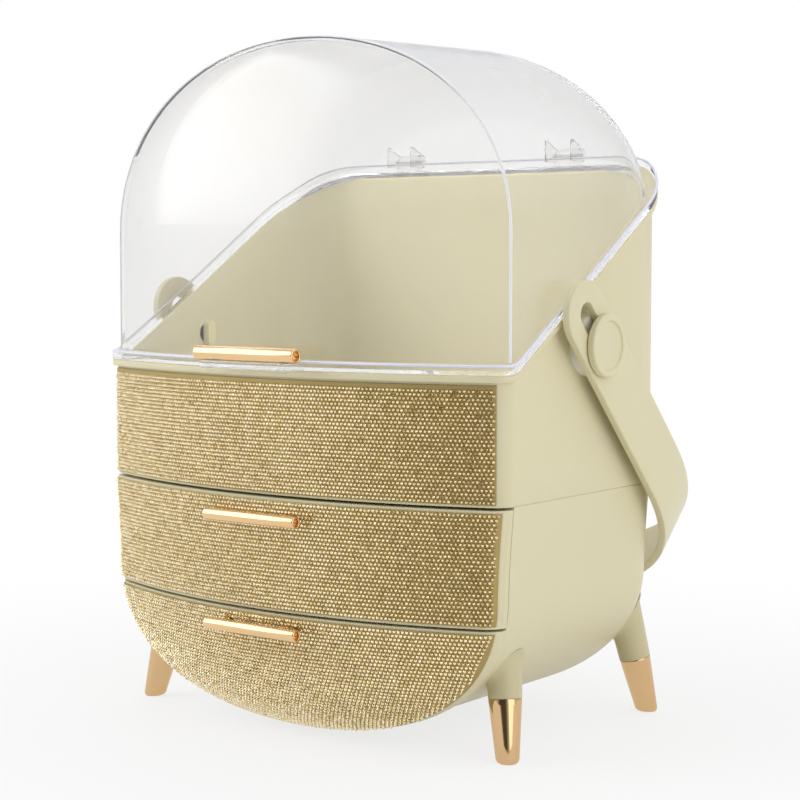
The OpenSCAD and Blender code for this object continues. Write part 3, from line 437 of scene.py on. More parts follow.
# %% Node groups
def new_group(name, colour, **numbers):
    """An empty group that takes a colour and numbers and gives colour, roughness and normal."""
    group = bpy.data.node_groups.new(name, "ShaderNodeTree")
    wanted = [("Color", "INPUT", "Color", (*colour, 1))]
    wanted += [(key, "INPUT", "Float", value) for key, value in numbers.items()]
    wanted += [("Color", "OUTPUT", "Color", None), ("Roughness", "OUTPUT", "Float", None)]
    wanted += [("Normal", "OUTPUT", "Vector", None)]
    for key, side, kind, value in wanted:
        socket = group.interface.new_socket(name=key, in_out=side, socket_type="NodeSocket" + kind)
        if value is not None:
            socket.default_value = value
    return group, group.nodes.new("NodeGroupInput"), group.nodes.new("NodeGroupOutput")


skin, given, made = new_group("moulded skin", (0.75, 0.7, 0.48), Mottle=0.06, Gloss=0.38, Grain=0.05)
broad, fine = noise(skin, 9.0, 3.0), noise(skin, 900.0, 2.0)
swing = maths(skin, "MULTIPLY")
level = maths(skin, "SUBTRACT", {0: 1.0})
tint = maths(skin, "SCALE", kind=VECTOR_MATH)
rough = maths(skin, "MULTIPLY_ADD", {1: 0.12})
bump = add(skin, "ShaderNodeBump", Distance=0.0002)
wire(skin, (broad, "Fac", swing, 0), (given, "Mottle", swing, 1), (swing, 0, level, 1),
     (given, "Color", tint, 0), (level, 0, tint, "Scale"), (tint, 0, made, "Color"),
     (fine, "Fac", rough, 0), (given, "Gloss", rough, 2), (rough, 0, made, "Roughness"),
     (fine, "Fac", bump, "Height"), (given, "Grain", bump, "Strength"), (bump, 0, made, "Normal"))

plating, given, made = new_group("plated metal", (0.8, 0.5, 0.3), Gloss=0.15, Haze=0.15)
cloud, scratch = noise(plating, 60.0, 4.0), noise(plating, 1400.0, 2.0)
rough = maths(plating, "MULTIPLY_ADD")
shade = spread(plating, 1.0, 0.92)
tint = maths(plating, "SCALE", kind=VECTOR_MATH)
bump = add(plating, "ShaderNodeBump", Strength=0.04, Distance=0.0001)
wire(plating, (cloud, "Fac", rough, 0), (given, "Haze", rough, 1), (given, "Gloss", rough, 2),
     (cloud, "Fac", shade, "Value"), (given, "Color", tint, 0), (shade, 0, tint, "Scale"),
     (tint, 0, made, "Color"), (rough, 0, made, "Roughness"),
     (scratch, "Fac", bump, "Height"), (bump, 0, made, "Normal"))
print("groups", skin.name, plating.name)

# %% [markdown]
# The plastics differ only in colour and gloss, and so do the plated metals. Each is one line
# here. The tub's plastic is darker where a point is marked as inside, because less light gets
# into a deep box than a plain colour would show.

# %% Plastics and metals
def principled(name):
    """A new material with one Principled shader, ready for its inputs."""
    mat = bpy.data.materials.new(name)
    mat.use_nodes = True
    tree = mat.node_tree
    return mat, tree, tree.nodes["Principled BSDF"], tree.nodes["Material Output"]


def grouped(name, group, colour, socket, value, **settings):
    """A material whose colour, roughness and normal come from a group with its own values, and
    whose shader has one more value set."""
    mat, tree, bsdf, _ = principled(name)
    node = add(tree, "ShaderNodeGroup", node_tree=group, Color=(*colour, 1), **settings)
    wire(tree, (node, "Color", bsdf, "Base Color"), (node, "Roughness", bsdf, "Roughness"),
         (node, "Normal", bsdf, "Normal"))
    bsdf.inputs[socket].default_value = value
    return mat


def plastic(name, colour, mottle, gloss, grain, specular=0.45):
    """A moulded plastic. gloss is its least roughness."""
    return grouped(
        name, skin, colour, "Specular IOR Level", specular, Mottle=mottle, Gloss=gloss, Grain=grain)


def metal(name, colour, gloss, haze, metallic=1.0):
    """A plated metal; haze is how much rougher its dull patches are."""
    return grouped(name, plating, colour, "Metallic", metallic, Gloss=gloss, Haze=haze)


CREAM, SHADED_CREAM = (0.765, 0.70, 0.455), (0.655, 0.61, 0.43)
cream = plastic("cream plastic", CREAM, 0.05, 0.36, 0.06)
tub_cream = plastic("cream plastic, tub", CREAM, 0.05, 0.36, 0.06)
inner_cream = plastic("cream plastic, drawer inside", (0.73, 0.67, 0.45), 0.08, 0.5, 0.1, 0.4)
strap_cream = plastic("cream strap plastic", (0.75, 0.69, 0.445), 0.04, 0.3, 0.05, 0.5)
# The feet's cream is the casing's cream made darker: painted shade for the legs low under the casing.
shaded_foot_cream = plastic("cream plastic, feet, painted shade", (0.645, 0.575, 0.345), 0.05, 0.36, 0.06)
pale = plastic("pale washer plastic", (0.80, 0.78, 0.66), 0.05, 0.42, 0.05)
milky = plastic("milky hinge plastic", (0.90, 0.895, 0.87), 0.02, 0.3, 0.02, 0.5)
# The next two finishes are painted highlights, for the beads along the hood's crease and flange edge.
bead = plastic("painted crease highlight", (0.90, 0.90, 0.93), 0.02, 0.25, 0.02, 0.5)
lilac = plastic("painted edge highlight, lilac", (0.80, 0.80, 0.93), 0.03, 0.22, 0.02, 0.5)
gold = metal("rose gold plating", (0.86, 0.59, 0.32), 0.09, 0.10)
# The tips' gold is the bars' plating made darker: painted shade for the tips low under the casing.
shaded_foot_gold = metal("rose gold plating, feet, painted shade", (0.70, 0.47, 0.245), 0.04, 0.06)
backing = metal("stone backing", (0.42, 0.32, 0.12), 0.36, 0.2, 0.75)
steel = metal("zinc plated steel", (0.62, 0.62, 0.6), 0.3, 0.25)

tree = tub_cream.node_tree
inside = add(tree, "ShaderNodeAttribute", attribute_name="inside")
shade = ramp(tree, CREAM, SHADED_CREAM)
wire(tree, (inside, "Fac", shade, 0), (shade, 0, tree.nodes["Group"], "Color"))
print("plastics and metals", len(bpy.data.materials))

# %% [markdown]
# The stones are foiled crystal, which looks like pale gold metal cut in small flat faces. Glass
# with a mirror behind it would be slow and noisy at this size, so the material is a metal, and
# every face reads its own tone from an attribute: deep amber at 0 and near white at 1.

# %% Stones
stones, tree, bsdf, _ = principled("champagne stones")
tone = add(tree, "ShaderNodeAttribute", attribute_name="tone")
hue = ramp(tree, (0.38, 0.27, 0.105), (1.0, 0.97, 0.84), (0.42, (0.93, 0.77, 0.45)))
rough = maths(tree, "MULTIPLY_ADD", {1: 0.14, 2: 0.10})
wire(tree, (tone, "Fac", hue, 0), (tone, "Fac", rough, 0),
     (hue, 0, bsdf, "Base Color"), (rough, 0, bsdf, "Roughness"))
bsdf.inputs["Metallic"].default_value = 0.92
print("stones", len(hue.color_ramp.elements), "colour stops")

# %% [markdown]
# The hood is clear plastic a few millimetres thick. Refraction at its full strength would bend
# what is behind it more than a thin moulded wall does, so the index is low and a coat gives the
# gloss. Its shadow is made light, because real light passes through it.

# %% Clear plastic
CLEAR_SHADER = {
    "Roughness": 0.0, "Transmission Weight": 1.0, "IOR": 1.12, "Coat Weight": 0.8, "Coat IOR": 1.5}
clear, tree, bsdf, final = principled("clear hood plastic")
haze = spread(tree, 0.22, 0.30)
graze = add(tree, "ShaderNodeLayerWeight", Blend=0.35)
tint = ramp(tree, (0.93, 0.928, 0.922), (0.86, 0.86, 0.865))
through = add(tree, "ShaderNodeBsdfTransparent", Color=(0.84, 0.84, 0.83, 1))
ray = add(tree, "ShaderNodeLightPath")
blend = add(tree, "ShaderNodeMixShader")
wire(tree, (noise(tree, 7.0, 1.0), "Fac", haze, "Value"), (haze, 0, bsdf, "Coat Roughness"),
     (graze, "Facing", tint, 0), (tint, 0, bsdf, "Base Color"),
     (ray, "Is Shadow Ray", blend, 0), (bsdf, 0, blend, 1), (through, 0, blend, 2), (blend, 0, final, 0))
for key, value in CLEAR_SHADER.items():
    bsdf.inputs[key].default_value = value
print("clear plastic", CLEAR_SHADER)

# %% [markdown]
# The floor is pale and has no visible edge. Close to the object it keeps the soft shadow, and
# farther out it turns to plain white, so it meets the backdrop without a line.

# %% Floor
FLOOR, NEAR, FAR = 30000, 0.18, 0.55
floor_paint, tree, bsdf, final = principled("pale floor")
at = add(tree, "ShaderNodeTexCoord")
tone = ramp(tree, (0.75, 0.75, 0.75), (0.79, 0.79, 0.79))
far = maths(tree, "LENGTH", kind=VECTOR_MATH)
fade = spread(tree, 0.78, 1.0, (NEAR, FAR), "SMOOTHSTEP")
ray = add(tree, "ShaderNodeLightPath")
through, seen, share = maths(tree, "MAXIMUM"), maths(tree, "MAXIMUM"), maths(tree, "MULTIPLY")
white = add(tree, "ShaderNodeEmission", Strength=1.0)
blend = add(tree, "ShaderNodeMixShader")
wire(tree, (at, "Object", far, 0), (far, "Value", fade, "Value"),
     (ray, "Is Camera Ray", through, 0), (ray, "Is Transmission Ray", through, 1),
     (through, 0, seen, 0), (ray, "Is Glossy Ray", seen, 1), (seen, 0, share, 0), (fade, 0, share, 1),
     (share, 0, blend, 0), (bsdf, 0, blend, 1), (white, 0, blend, 2), (blend, 0, final, 0),
     (noise(tree, 3.0, 3.0), "Fac", tone, 0), (tone, 0, bsdf, "Base Color"))
bsdf.inputs["Roughness"].default_value = 0.6
corners = np.array([(-1, -1), (1, -1), (1, 1), (-1, 1)]) * FLOOR
mesh = new_mesh("floor", np.column_stack([corners, np.zeros(4)]), [np.arange(4)])
floor = bpy.data.objects.new("floor", mesh)
mesh.materials.append(floor_paint)
bpy.context.scene.collection.objects.link(floor)
floor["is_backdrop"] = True
print("floor", 2 * FLOOR * MM, "m wide")

# %% [markdown]
# Seen from above the casing has a bowed front, small front corners and large back corners. Seen
# from the front its sides lean in a little and then turn under in a superellipse, which is
# fuller than an ellipse. These curves are shared by the casing, the tub, the drawer fronts, the
# stones and the hood, so they are written once as functions of whole arrays.

# %% Curves of the plan
def front_point(a, off=0.0):
    """A point of the front grown by off. Within the bow it lies on a large circle; beyond it,
    on the small corner circle. a is the angle from straight ahead, in radians."""
    a = np.asarray(a, float)
    s, c = np.sin(a), np.cos(a)
    bowed = np.abs(a) <= bow_turn
    x = np.where(bowed, (BOW_R + off) * s, np.sign(a) * (corner_x + (FRONT_R + off) * np.abs(s)))
    y = np.where(bowed, bow_y - (BOW_R + off) * c, -(FRONT_R + off) * c)
    return np.stack([x, y], -1)


def front_y(x):
    """The bowed front's Y at a distance x from the middle: the large circle's Y, and past its
    end the corner circle's."""
    q = np.abs(x)
    bowed = bow_y - np.sqrt(BOW_R ** 2 - np.minimum(q, half) ** 2)
    corner = -np.sqrt(np.maximum(0, FRONT_R ** 2 - (q - corner_x) ** 2))
    return np.where(q <= BOW_R * math.sin(bow_turn), bowed, corner)


def back_corner(a, off):
    """A point of the large right back corner grown by off, at an angle a from straight right."""
    r = BACK_R + off
    return np.stack([half - BACK_R + r * np.cos(a), fillet_y + r * np.sin(a)], -1)


def plan_loop(off=0.0):
    """The casing seen from above, grown by off, as one closed loop that starts at the left
    front corner and runs along the front, the right side and the back."""
    tight = np.linspace(-math.pi / 2, -bow_turn, 11)[:-1]
    front = np.concatenate([tight, np.linspace(-bow_turn, bow_turn, 65), -tight[::-1]])
    side = np.stack([np.full(14, half + off), np.linspace(0, fillet_y, 16)[1:-1]], -1)
    rear = np.stack([np.linspace(half - BACK_R, 0, 12)[1:], np.full(11, CASE_D + off)], -1)
    right = np.concatenate([side, back_corner(np.linspace(0, np.pi / 2, 15), off), rear])
    return np.concatenate([front_point(front, off), right, right[-2::-1] * [-1, 1]])


print("plan", plan_loop().shape, "bow", round(bow, 2))


# %% [markdown]
# The section's side is straight and leans in a little. Below it turns under in a superellipse,
# |x / w|^n + |z / h|^n = 1, which needs one number n to go from an ellipse at 2 towards a box.
# The rim is a height as a function of depth, so anything that stands on it can ask for it.

# %% Curves of the section
def side_x(z):
    """Half width above the turn: the sides lean in as a power curve of the height."""
    return side_w + LEAN * np.maximum(0, (z - SPRING_Z) / (SEAM_Z - SPRING_Z)) ** 1.5


def quarter(a, w, h, n, d=0.0):
    """A quarter of a superellipse with half axes w and h, moved in by d along its normal. The
    point is (w cos^e, h sin^e) with e = 2/n, less d times the unit normal."""
    e = 2 / n
    c, s = np.maximum(np.cos(a), 0), np.maximum(np.sin(a), 0)
    nx, nz = c ** (2 - e) / w, s ** (2 - e) / h
    size = np.hypot(nx, nz)
    return w * c ** e - d * nx / size, h * s ** e - d * nz / size


def outline_x(z):
    """Half width of the fronts at a height: the leaning side, then the rounded bottom."""
    drop = np.clip((SPRING_Z - z) / (SPRING_Z - FRONT_Z), 0, 1)
    return np.where(z > SPRING_Z, side_x(z), side_w * (1 - drop ** FRONT_N) ** (1 / FRONT_N))


def bulge(z):
    """How far the fronts bow out at a height: fully above the lower drawer, less below it."""
    return np.where(z >= SEAM_2_Z, 1.0, (outline_x(z) / outline_x(SEAM_2_Z)) ** BULGE_P)


def surface_y(x, z):
    """The front surface's Y: the bow is narrowed to the outline's width and then flattened."""
    share = np.minimum(1, np.abs(x) / np.maximum(outline_x(z), 1e-6))
    return front_y(half * share) * bulge(z) - FRONT_GAP


def rim(y):
    """The tub's rim: level in front, a short parabola, a straight slope, and a little more rise
    along the back corners, which follows s * s * (3 - 2 s)."""
    t = y + RIM_LEAD
    bend = RIM_SLOPE * (t + RIM_BEND) ** 2 / (4 * RIM_BEND)
    s = np.clip(((y - fillet_y) / BACK_R - LIFT_FROM) / (LIFT_TO - LIFT_FROM), 0, 1)
    straight = np.where(t < -RIM_BEND, 0, np.where(t > RIM_BEND, RIM_SLOPE * t, bend))
    return RIM_Z + straight + BACK_LIFT * s * s * (3 - 2 * s)


rear_rim = float(rim(CASE_D))
print("the rim rises from", RIM_Z, "to", round(rear_rim, 1))

# %% [markdown]
# The lower casing is an injection moulded shell, open in front for the drawers and on top for
# the tub. Its outer face is one grid: each row is the section, and the rows turn through the
# large back corners. The inner face is the same grid moved in by the wall, with a ledge on top.

# %% Lower casing
WALL_Z = np.array([SEAM_Z, SEAM_Z - LEDGE_T / 2, SEAM_Z - LEDGE_T, 122, 118, 112, 106, 100, 95, 90])
BELLY_STEPS, STRAIGHT_ROWS, CORNER_ROWS = 40, 6, 26


def casing_rows(d, ledge):
    """Rows of the casing moved in by d. In the corners both the depth and the inset follow a
    circle of the back radius."""
    k = len(WALL_Z)
    deep, z_top = np.full(k + BELLY_STEPS + 1, float(d)), WALL_Z.copy()
    if ledge:
        deep[:2] = LEDGE_W
        z_top[1] = SEAM_Z - LEDGE_T + LEDGE_DRAFT
    a = np.concatenate([np.zeros(STRAIGHT_ROWS), np.linspace(0, np.pi / 2, CORNER_ROWS)])
    inset = BACK_R - (BACK_R - deep) * np.cos(a)[:, None]
    y = fillet_y + (BACK_R - deep) * np.sin(a)[:, None]
    y[:STRAIGHT_ROWS] = np.linspace(0, fillet_y, STRAIGHT_ROWS + 1)[:-1, None]
    t = np.linspace(0, np.pi / 2, BELLY_STEPS + 1)
    belly_x, belly_z = quarter(t, side_w, SPRING_Z - BELLY_Z, BELLY_N, inset[:, k:])
    x = np.concatenate([side_x(WALL_Z) - inset[:, :k], belly_x], 1)
    z = np.concatenate([np.broadcast_to(z_top, (len(a), k)), SPRING_Z - belly_z], 1)
    right = np.stack([x, y, z], -1)
    return np.concatenate([right * [-1, 1, 1], right[:, -2::-1]], 1)


def shell_faces(rows, cols):
    """Faces of a double walled shell whose outer and inner grids follow each other: the two
    grids, the flat back panels and the strips that close the edges."""
    n = rows * cols
    top, edge = np.arange(cols), np.arange(rows) * cols
    back = n - cols + top
    outside = [grid(rows, cols), *folded(back), bridge(top + n, top), bridge(edge, edge + n),
               bridge(edge + cols - 1 + n, edge + cols - 1),
               np.array([[back[0], back[-1], back[-1] + n, back[0] + n]])]
    return turned(outside) + [grid(rows, cols, n), *folded(back + n)]


walls = np.stack([casing_rows(0, False), casing_rows(WALL, True)])
shape = walls.reshape(-1, 3), shell_faces(*walls.shape[1:3])
piece("casing_shell", shape, "casing_body", cream, ["lower_casing"], bevel=0.5)

# %% [markdown]
# The tub stands on the casing. It is one profile of wall and lip carried round the plan: up the
# outside, over the lip, down the inside and across the floor. The profile's top follows the
# sloping rim, so the height of each point depends on its own depth. The rings of the inside are
# marked, and the material shows them a little darker.

# %% Tub
TUB_PROFILE = [
    (-3.0, "seam", 0), (-0.5, "seam", 0), (-0.15, "seam", 0.15), (0, "seam", 0.5), (0, "seam", 20),
    (0, "seam", 45), (0, "rim", -LIP_T - 0.6), (0.2, "rim", -LIP_T - 0.2), (0.7, "rim", -LIP_T),
    (LIP_OUT - 0.7, "rim", -LIP_T), (LIP_OUT - 0.2, "rim", -LIP_T + 0.2),
    (LIP_OUT, "rim", -LIP_T + 0.7), (LIP_OUT, "rim", -0.8), (LIP_OUT - 0.25, "rim", -0.2),
    (LIP_OUT - 0.8, "rim", 0), (-WALL + 0.7, "rim", 0), (-WALL + 0.2, "rim", -0.2),
    (-WALL, "rim", -0.8), (-WALL, "rim", -20), (-WALL, "seam", WALL + 3),
    (-WALL - 0.9, "seam", WALL + 0.9), (-WALL - 3, "seam", WALL)]


def tub_ring(off, mark, dz):
    """The plan's loop for one step of the profile. Its height is taken from the seam, or from
    the rim at each point's own depth."""
    p = plan_loop(off)
    return np.column_stack([p, (rim(p[:, 1]) if mark == "rim" else np.full(len(p), SEAM_Z)) + dz])


rows = np.stack([tub_ring(*step) for step in TUB_PROFILE])
shape = rows.reshape(-1, 3), capped(*rows.shape[:2])
tub = piece("tub_shell", shape, "casing_body", tub_cream, ["upper_tub"])
give(tub, "inside", "POINT", np.repeat([off <= -WALL for off, _, _ in TUB_PROFILE], rows.shape[1]))

# %% [markdown]
# Two clear lugs stand at the back of the tub and carry the hood's pins. Each is a flat outline,
# round at the top, carried across by the lug's width, which is how such a rib is moulded.

# %% Hinge lugs
hinge_y, hinge_z = CASE_D + HINGE_OUT, rear_rim + HINGE_UP


def knuckle(start, end, count):
    """Points round the hinge's axis from one angle to another, as (Y, Z)."""
    a = np.linspace(start, end, count)
    return np.column_stack([hinge_y + KNUCKLE_R * np.cos(a), hinge_z + KNUCKLE_R * np.sin(a)])


lug_y, lug_back = CASE_D - 1, hinge_y + KNUCKLE_R
lug = np.concatenate([
    [(lug_y, hinge_z - 26), (lug_back - 2, hinge_z - 16), (lug_back, hinge_z - 13)],
    knuckle(0, np.pi, 24), [(hinge_y - KNUCKLE_R, rear_rim), (lug_y, rear_rim - 2)]])
shape = join([extruded(lug, x, LUG_W) for x in (-HINGE_X, HINGE_X)])
piece("hinge_lugs", shape, "casing_body", clear, bevel=0.5)

# %% [markdown]
# The sheets are a thin gold foil with glass stones glued on in close rows, offset like bricks.
# One stone is a short turned gem: a belt, a ring of slanted faces and a flat table. All stones
# of a sheet are one mesh, made by placing that gem on the surface with one array product. Each
# face keeps its own tone, since cut faces catch the light differently.

# %% Foil
FOIL_T, STONE_SINK = 0.6, 0.05


def front_surface(x, z, off):
    """Points of a front pushed out by off. The front's own curve gives Y."""
    return np.stack([x, surface_y(x, z) - off, z], -1)


def tub_surface(x, z, off):
    """The same for the tub, whose front is upright and has no gap behind the sheet."""
    return np.stack([x, front_y(x) - off, z], -1)


def foil(surface, levels, widths):
    """A closed thin sheet on a surface: front and back grids joined round the edge. The columns
    lie at x = w (1 - (1 - u)^1.15), a little closer towards the sides."""
    u = np.linspace(-1, 1, 97)
    x = widths[:, None] * np.sign(u) * (1 - (1 - np.abs(u)) ** 1.15)
    z = np.broadcast_to(levels[:, None], x.shape)
    p = np.stack([surface(x, z, GLUE_T + FOIL_T), surface(x, z, GLUE_T)])
    r, c = x.shape
    n = r * c
    up, row = np.arange(r) * c, np.arange(c)
    edges = [(row + n, row), (n - c + row, 2 * n - c + row), (up, up + n), (up + n + c - 1, up + c - 1)]
    return p.reshape(-1, 3), [grid(r, c), grid(r, c, n, flip=True)] + [bridge(*e) for e in edges]


print("a foil is", FOIL_T, "mm thick")

# %% One stone
GEM_SIDES, GEM_RINGS = 8, [(1.0, 0.0, 0.0), (0.80, 0.56, 0.5), (0.46, 0.95, 0.0)]


def gem():
    """One stone around its own middle: rings of GEM_SIDES points given as (radius, height, turn
    in steps). The slanted part is made of triangles and the table is one flat face."""
    k = np.arange(GEM_SIDES)
    turn = 2 * np.pi / GEM_SIDES
    points = [
        np.stack([r * np.cos((k + t) * turn), r * np.sin((k + t) * turn), np.full(GEM_SIDES, h)], -1)
        for r, h, t in GEM_RINGS]
    nxt = (k + 1) % GEM_SIDES
    c, d, c_nxt, d_nxt = k + GEM_SIDES, k + 2 * GEM_SIDES, nxt + GEM_SIDES, nxt + 2 * GEM_SIDES
    slants = [(k, nxt, c), (nxt, c_nxt, c), (c, c_nxt, d_nxt), (c, d_nxt, d)]
    slants = np.concatenate([np.stack(s, -1) for s in slants])
    return np.concatenate(points), slants, np.stack([d, k[::-1]])


print("a stone has", len(gem()[1]), "slanted faces")

# %% [markdown]
# The stones are stuck on in rows, each at the same distance along the curved surface, and every
# second row is moved by half a step, as bricks are. Spacing them by X alone would crowd them on
# the round ends, so each row is measured along its own curve first.

# %% Rows of stones
STONE_R, PITCH, ROW, STONE_EDGE = 1.07, 2.25, 2.06, 0.15


def across(surface, z, w):
    """X from -w to w at one height, and the length of the surface's curve up to each."""
    x = np.linspace(-w, w, 500)
    return x, run_along(surface(x, np.full_like(x, z), 0))


def row_heights(surface, z0, z1):
    """Heights between z0 and z1 that are one row apart along the surface's middle line."""
    z = np.linspace(z0, z1, 600)
    run = run_along(surface(np.zeros_like(z), z, 0))
    count = max(2, int(round(run[-1] / ROW)) + 1)
    return np.interp(np.linspace(0, run[-1], count), run, z)


def brick_rows(surface, levels, width):
    """Places of the stones: every row has equal steps along its own curve, and every second row
    is moved by half a step. The step is the pitch, fitted to the widest row."""
    widest = across(surface, levels[-1], width(levels[-1]))[1][-1] / 2
    step = widest / round(widest / PITCH)
    xs, zs = [], []
    for i, z in enumerate(levels):
        x, run = across(surface, z, width(z))
        reach = run[-1] / 2 / step + 0.001
        shift = 0.5 * (i % 2)
        k = np.arange(-math.floor(reach + shift), math.floor(reach - shift) + 1)
        xs.append(np.interp(run[-1] / 2 + (k + shift) * step, run, x))
        zs.append(np.full(len(k), z))
    return np.concatenate(xs), np.concatenate(zs)


print("stones stand", PITCH, "mm apart in rows", ROW, "mm apart")

# %% [markdown]
# Hand-set stones are never quite alike. Each is tilted, turned and sized a little at random, with
# a fixed seed for each sheet, and its faces take random tones. That is what makes the surface
# sparkle: with equal stones all tables would shine or go dark at once.

# %% Stones on a surface
STONE_SIZES, STONE_TILT, SLOPE_STEP = (0.95, 1.02), 0.038, 0.05
STONE_SHARE, SLANT_TONES, TABLE_TONES, PAINTED_SHADE_FROM, PAINTED_SHADE_OVER = 0.3, (-0.1, 0.65), (0.3, 0.7), 30, 90


def stone_field(surface, x, z, seed, dim):
    """Stones at the places (x, z) and the tone of each face. A stone's own directions are the
    surface's slopes and their cross product, tilted and turned a little. The tones fall by dim
    towards the right end, which is painted shade."""
    rng = np.random.default_rng(seed)
    n, e, off = len(x), SLOPE_STEP, GLUE_T + FOIL_T - STONE_SINK
    along = surface(x + e, z, off) - surface(x - e, z, off)
    up = surface(x, z + e, off) - surface(x, z - e, off)
    out = unit(unit(np.cross(along, up)) + rng.normal(0, STONE_TILT, (n, 3)))
    side = unit(np.cross(out, along))
    along = np.cross(side, out)
    turn = rng.uniform(0, 2 * np.pi / GEM_SIDES, n)[:, None]
    u = along * np.cos(turn) + side * np.sin(turn)
    v = side * np.cos(turn) - along * np.sin(turn)
    size = STONE_R * rng.uniform(*STONE_SIZES, n)[:, None, None]
    local, slants, flats = gem()
    flat_part = local[:, :1] * u[:, None] + local[:, 1:2] * v[:, None]
    points = surface(x, z, off)[:, None] + size * flat_part + local[:, 2:] * out[:, None]
    first = (np.arange(n) * len(local))[:, None, None]
    faces = [(f + first).reshape(-1, f.shape[1]) for f in (slants, flats)]
    # The dim term is painted shade: it darkens the stones towards the right end, where less light falls.
    own = STONE_SHARE * rng.beta(1.2, 1.2, n) - dim * np.clip((x - PAINTED_SHADE_FROM) / PAINTED_SHADE_OVER, 0, 1)
    tones = [own[:, None] + rng.uniform(*span, (n, len(f)))
             for span, f in ((SLANT_TONES, slants), (TABLE_TONES, flats))]
    return (points.reshape(-1, 3), faces), np.clip(np.concatenate([t.ravel() for t in tones]), 0, 1)


print("stones differ in size by", round((STONE_SIZES[1] - STONE_SIZES[0]) * 100), "percent")

# %% [markdown]
# There are three sheets: on the tub, on the upper drawer and on the lower one. The lower sheet
# follows the round bottom, so its levels lie closer together there. Where a bar's two posts go
# through a sheet, the stones are left out.

# %% The three sheets
upper_low, upper_high, lower_high = SEAM_2_Z + FRONT_GAP, SEAM_Z - TOP_GAP, SEAM_2_Z - FRONT_GAP
upper_bar_z, lower_bar_z = upper_high - UPPER_DROP, lower_high - LOWER_DROP


# dim is how much painted shade darkens a sheet's stones towards its right end.
def sheet(part, body, surface, levels, width, rows, seed, inset=STONE_R, bar_z=None, dim=0.3):
    """A foil and its stones. width gives the foil's half width at a height, rows the heights of
    the lowest and the highest row, and inset how far the stones stay from the foil's sides."""
    shape = foil(surface, levels, np.maximum(width(levels), 1))
    piece(part + "_foil", shape, body, backing, bevel=0.2, sharp=40)
    x, z = brick_rows(surface, row_heights(surface, *rows), lambda z: float(width(z)) - inset)
    if bar_z:
        free = (np.abs(x) - POST_X) ** 2 + (z - bar_z) ** 2 > (POST_R + 0.9) ** 2
        x, z = x[free], z[free]
    shape, tones = stone_field(surface, x, z, seed, dim)
    obj = piece(part + "_stones", shape, body, stones, [part + "_stone_sheet"], sharp=None)
    give(obj, "tone", "FACE", tones)
    print("stones on the", part, len(x))


def drawer_width(z):
    """Half width of a drawer's sheet at a height."""
    return outline_x(z) - DRAWER_EDGE


z0, z1 = SEAM_Z + SHEET_END, RIM_Z - LIP_T - SHEET_END
sheet("tub", "casing_body", tub_surface, np.linspace(z0, z1, 8),
      lambda z: np.full_like(z, half - TUB_EDGE), (z0 + STONE_R + STONE_EDGE, z1 - STONE_R - 2), 3)
z0, z1 = upper_low + SHEET_END, upper_high - SHEET_END
sheet("upper", "upper_drawer_body", front_surface, np.linspace(z0, z1, 14), drawer_width,
      (z0 + STONE_R + STONE_EDGE, z1 - STONE_R - STONE_EDGE), 5, bar_z=upper_bar_z)
z0 = SPRING_Z - quarter(math.radians(86), side_w, SPRING_Z - FRONT_Z, FRONT_N)[1]
z1 = lower_high - SHEET_END
levels = z0 + (z1 - z0) * (1 - np.cos(np.linspace(0, np.pi / 2, 40)))
sheet("lower", "lower_drawer_body", front_surface, levels, drawer_width,
      (z0 + 0.35, z1 - STONE_R - STONE_EDGE), 7, STONE_R + 0.1, lower_bar_z, 0.1)

# %% [markdown]
# The hood is one blown or moulded clear shell. Its section is a straight wall and a superellipse
# arch. The sections turn in at the back corners, and in front a bowed face closes the dome along
# a visible crease. Its foot spreads into a flange that rests on the tub's rim.

# %% Stations of the hood
crease_y = -RIM_BEND
hood_w = half - HOOD_IN
HALF_COLS, CORNER_TURNS, SIDE_SHARE, CORNER_SHARE = 60, 18, 0.9, 0.94
stations = [(crease_y * (1 - k / 6), 0.0, b) for k, b in enumerate(np.linspace(45, 90, 7))]
side_y = np.concatenate([[1, 2, 3, 4.5], np.linspace(6, fillet_y, 20)[:-1]])
stations += [(y, 0.0, 90.0) for y in side_y]
stations += [(fillet_y, a, 90.0) for a in np.linspace(0, 90, CORNER_TURNS)]
station_y, corner_turn, front_turn = np.array(stations).T
corner_turn, front_turn = np.radians(corner_turn), np.radians(front_turn)
in_corner = corner_turn > 0
u_side = np.linspace(SIDE_SHARE, 1, 8)
u_face = np.concatenate([-u_side[::-1], np.linspace(-SIDE_SHARE, SIDE_SHARE, 49)[1:-1], u_side])
print("stations", len(stations), "across the face", len(u_face))


# %% [markdown]
# Both faces of the wall are made by one function, once at depth 0 and once moved in by the
# wall. The points of each section are spread evenly along its curve, and both faces have the
# same number, so the strips that join them at the foot are plain quads.

# %% Surfaces of the hood
def hood_section(y, d, z0):
    """Half of the section at depth y, inset by d, from height z0 to the top, with its points at
    equal steps along the curve."""
    rise = ARCH_H + ARCH_RISE * (y - crease_y) / (CASE_D - crease_y)
    arch_x, arch_z = quarter(np.linspace(0, np.pi / 2, 400), hood_w, rise, ARCH_N, d)
    x = np.concatenate([[hood_w - d], arch_x])
    z = np.concatenate([[RIM_Z - 10], ARCH_Z + arch_z])
    run = run_along(np.stack([x, z], -1))
    s = np.linspace(np.interp(z0, z, run), run[-1], HALF_COLS)
    return np.stack([-np.interp(s, run, x), np.full(HALF_COLS, y), np.interp(s, run, z)], -1)


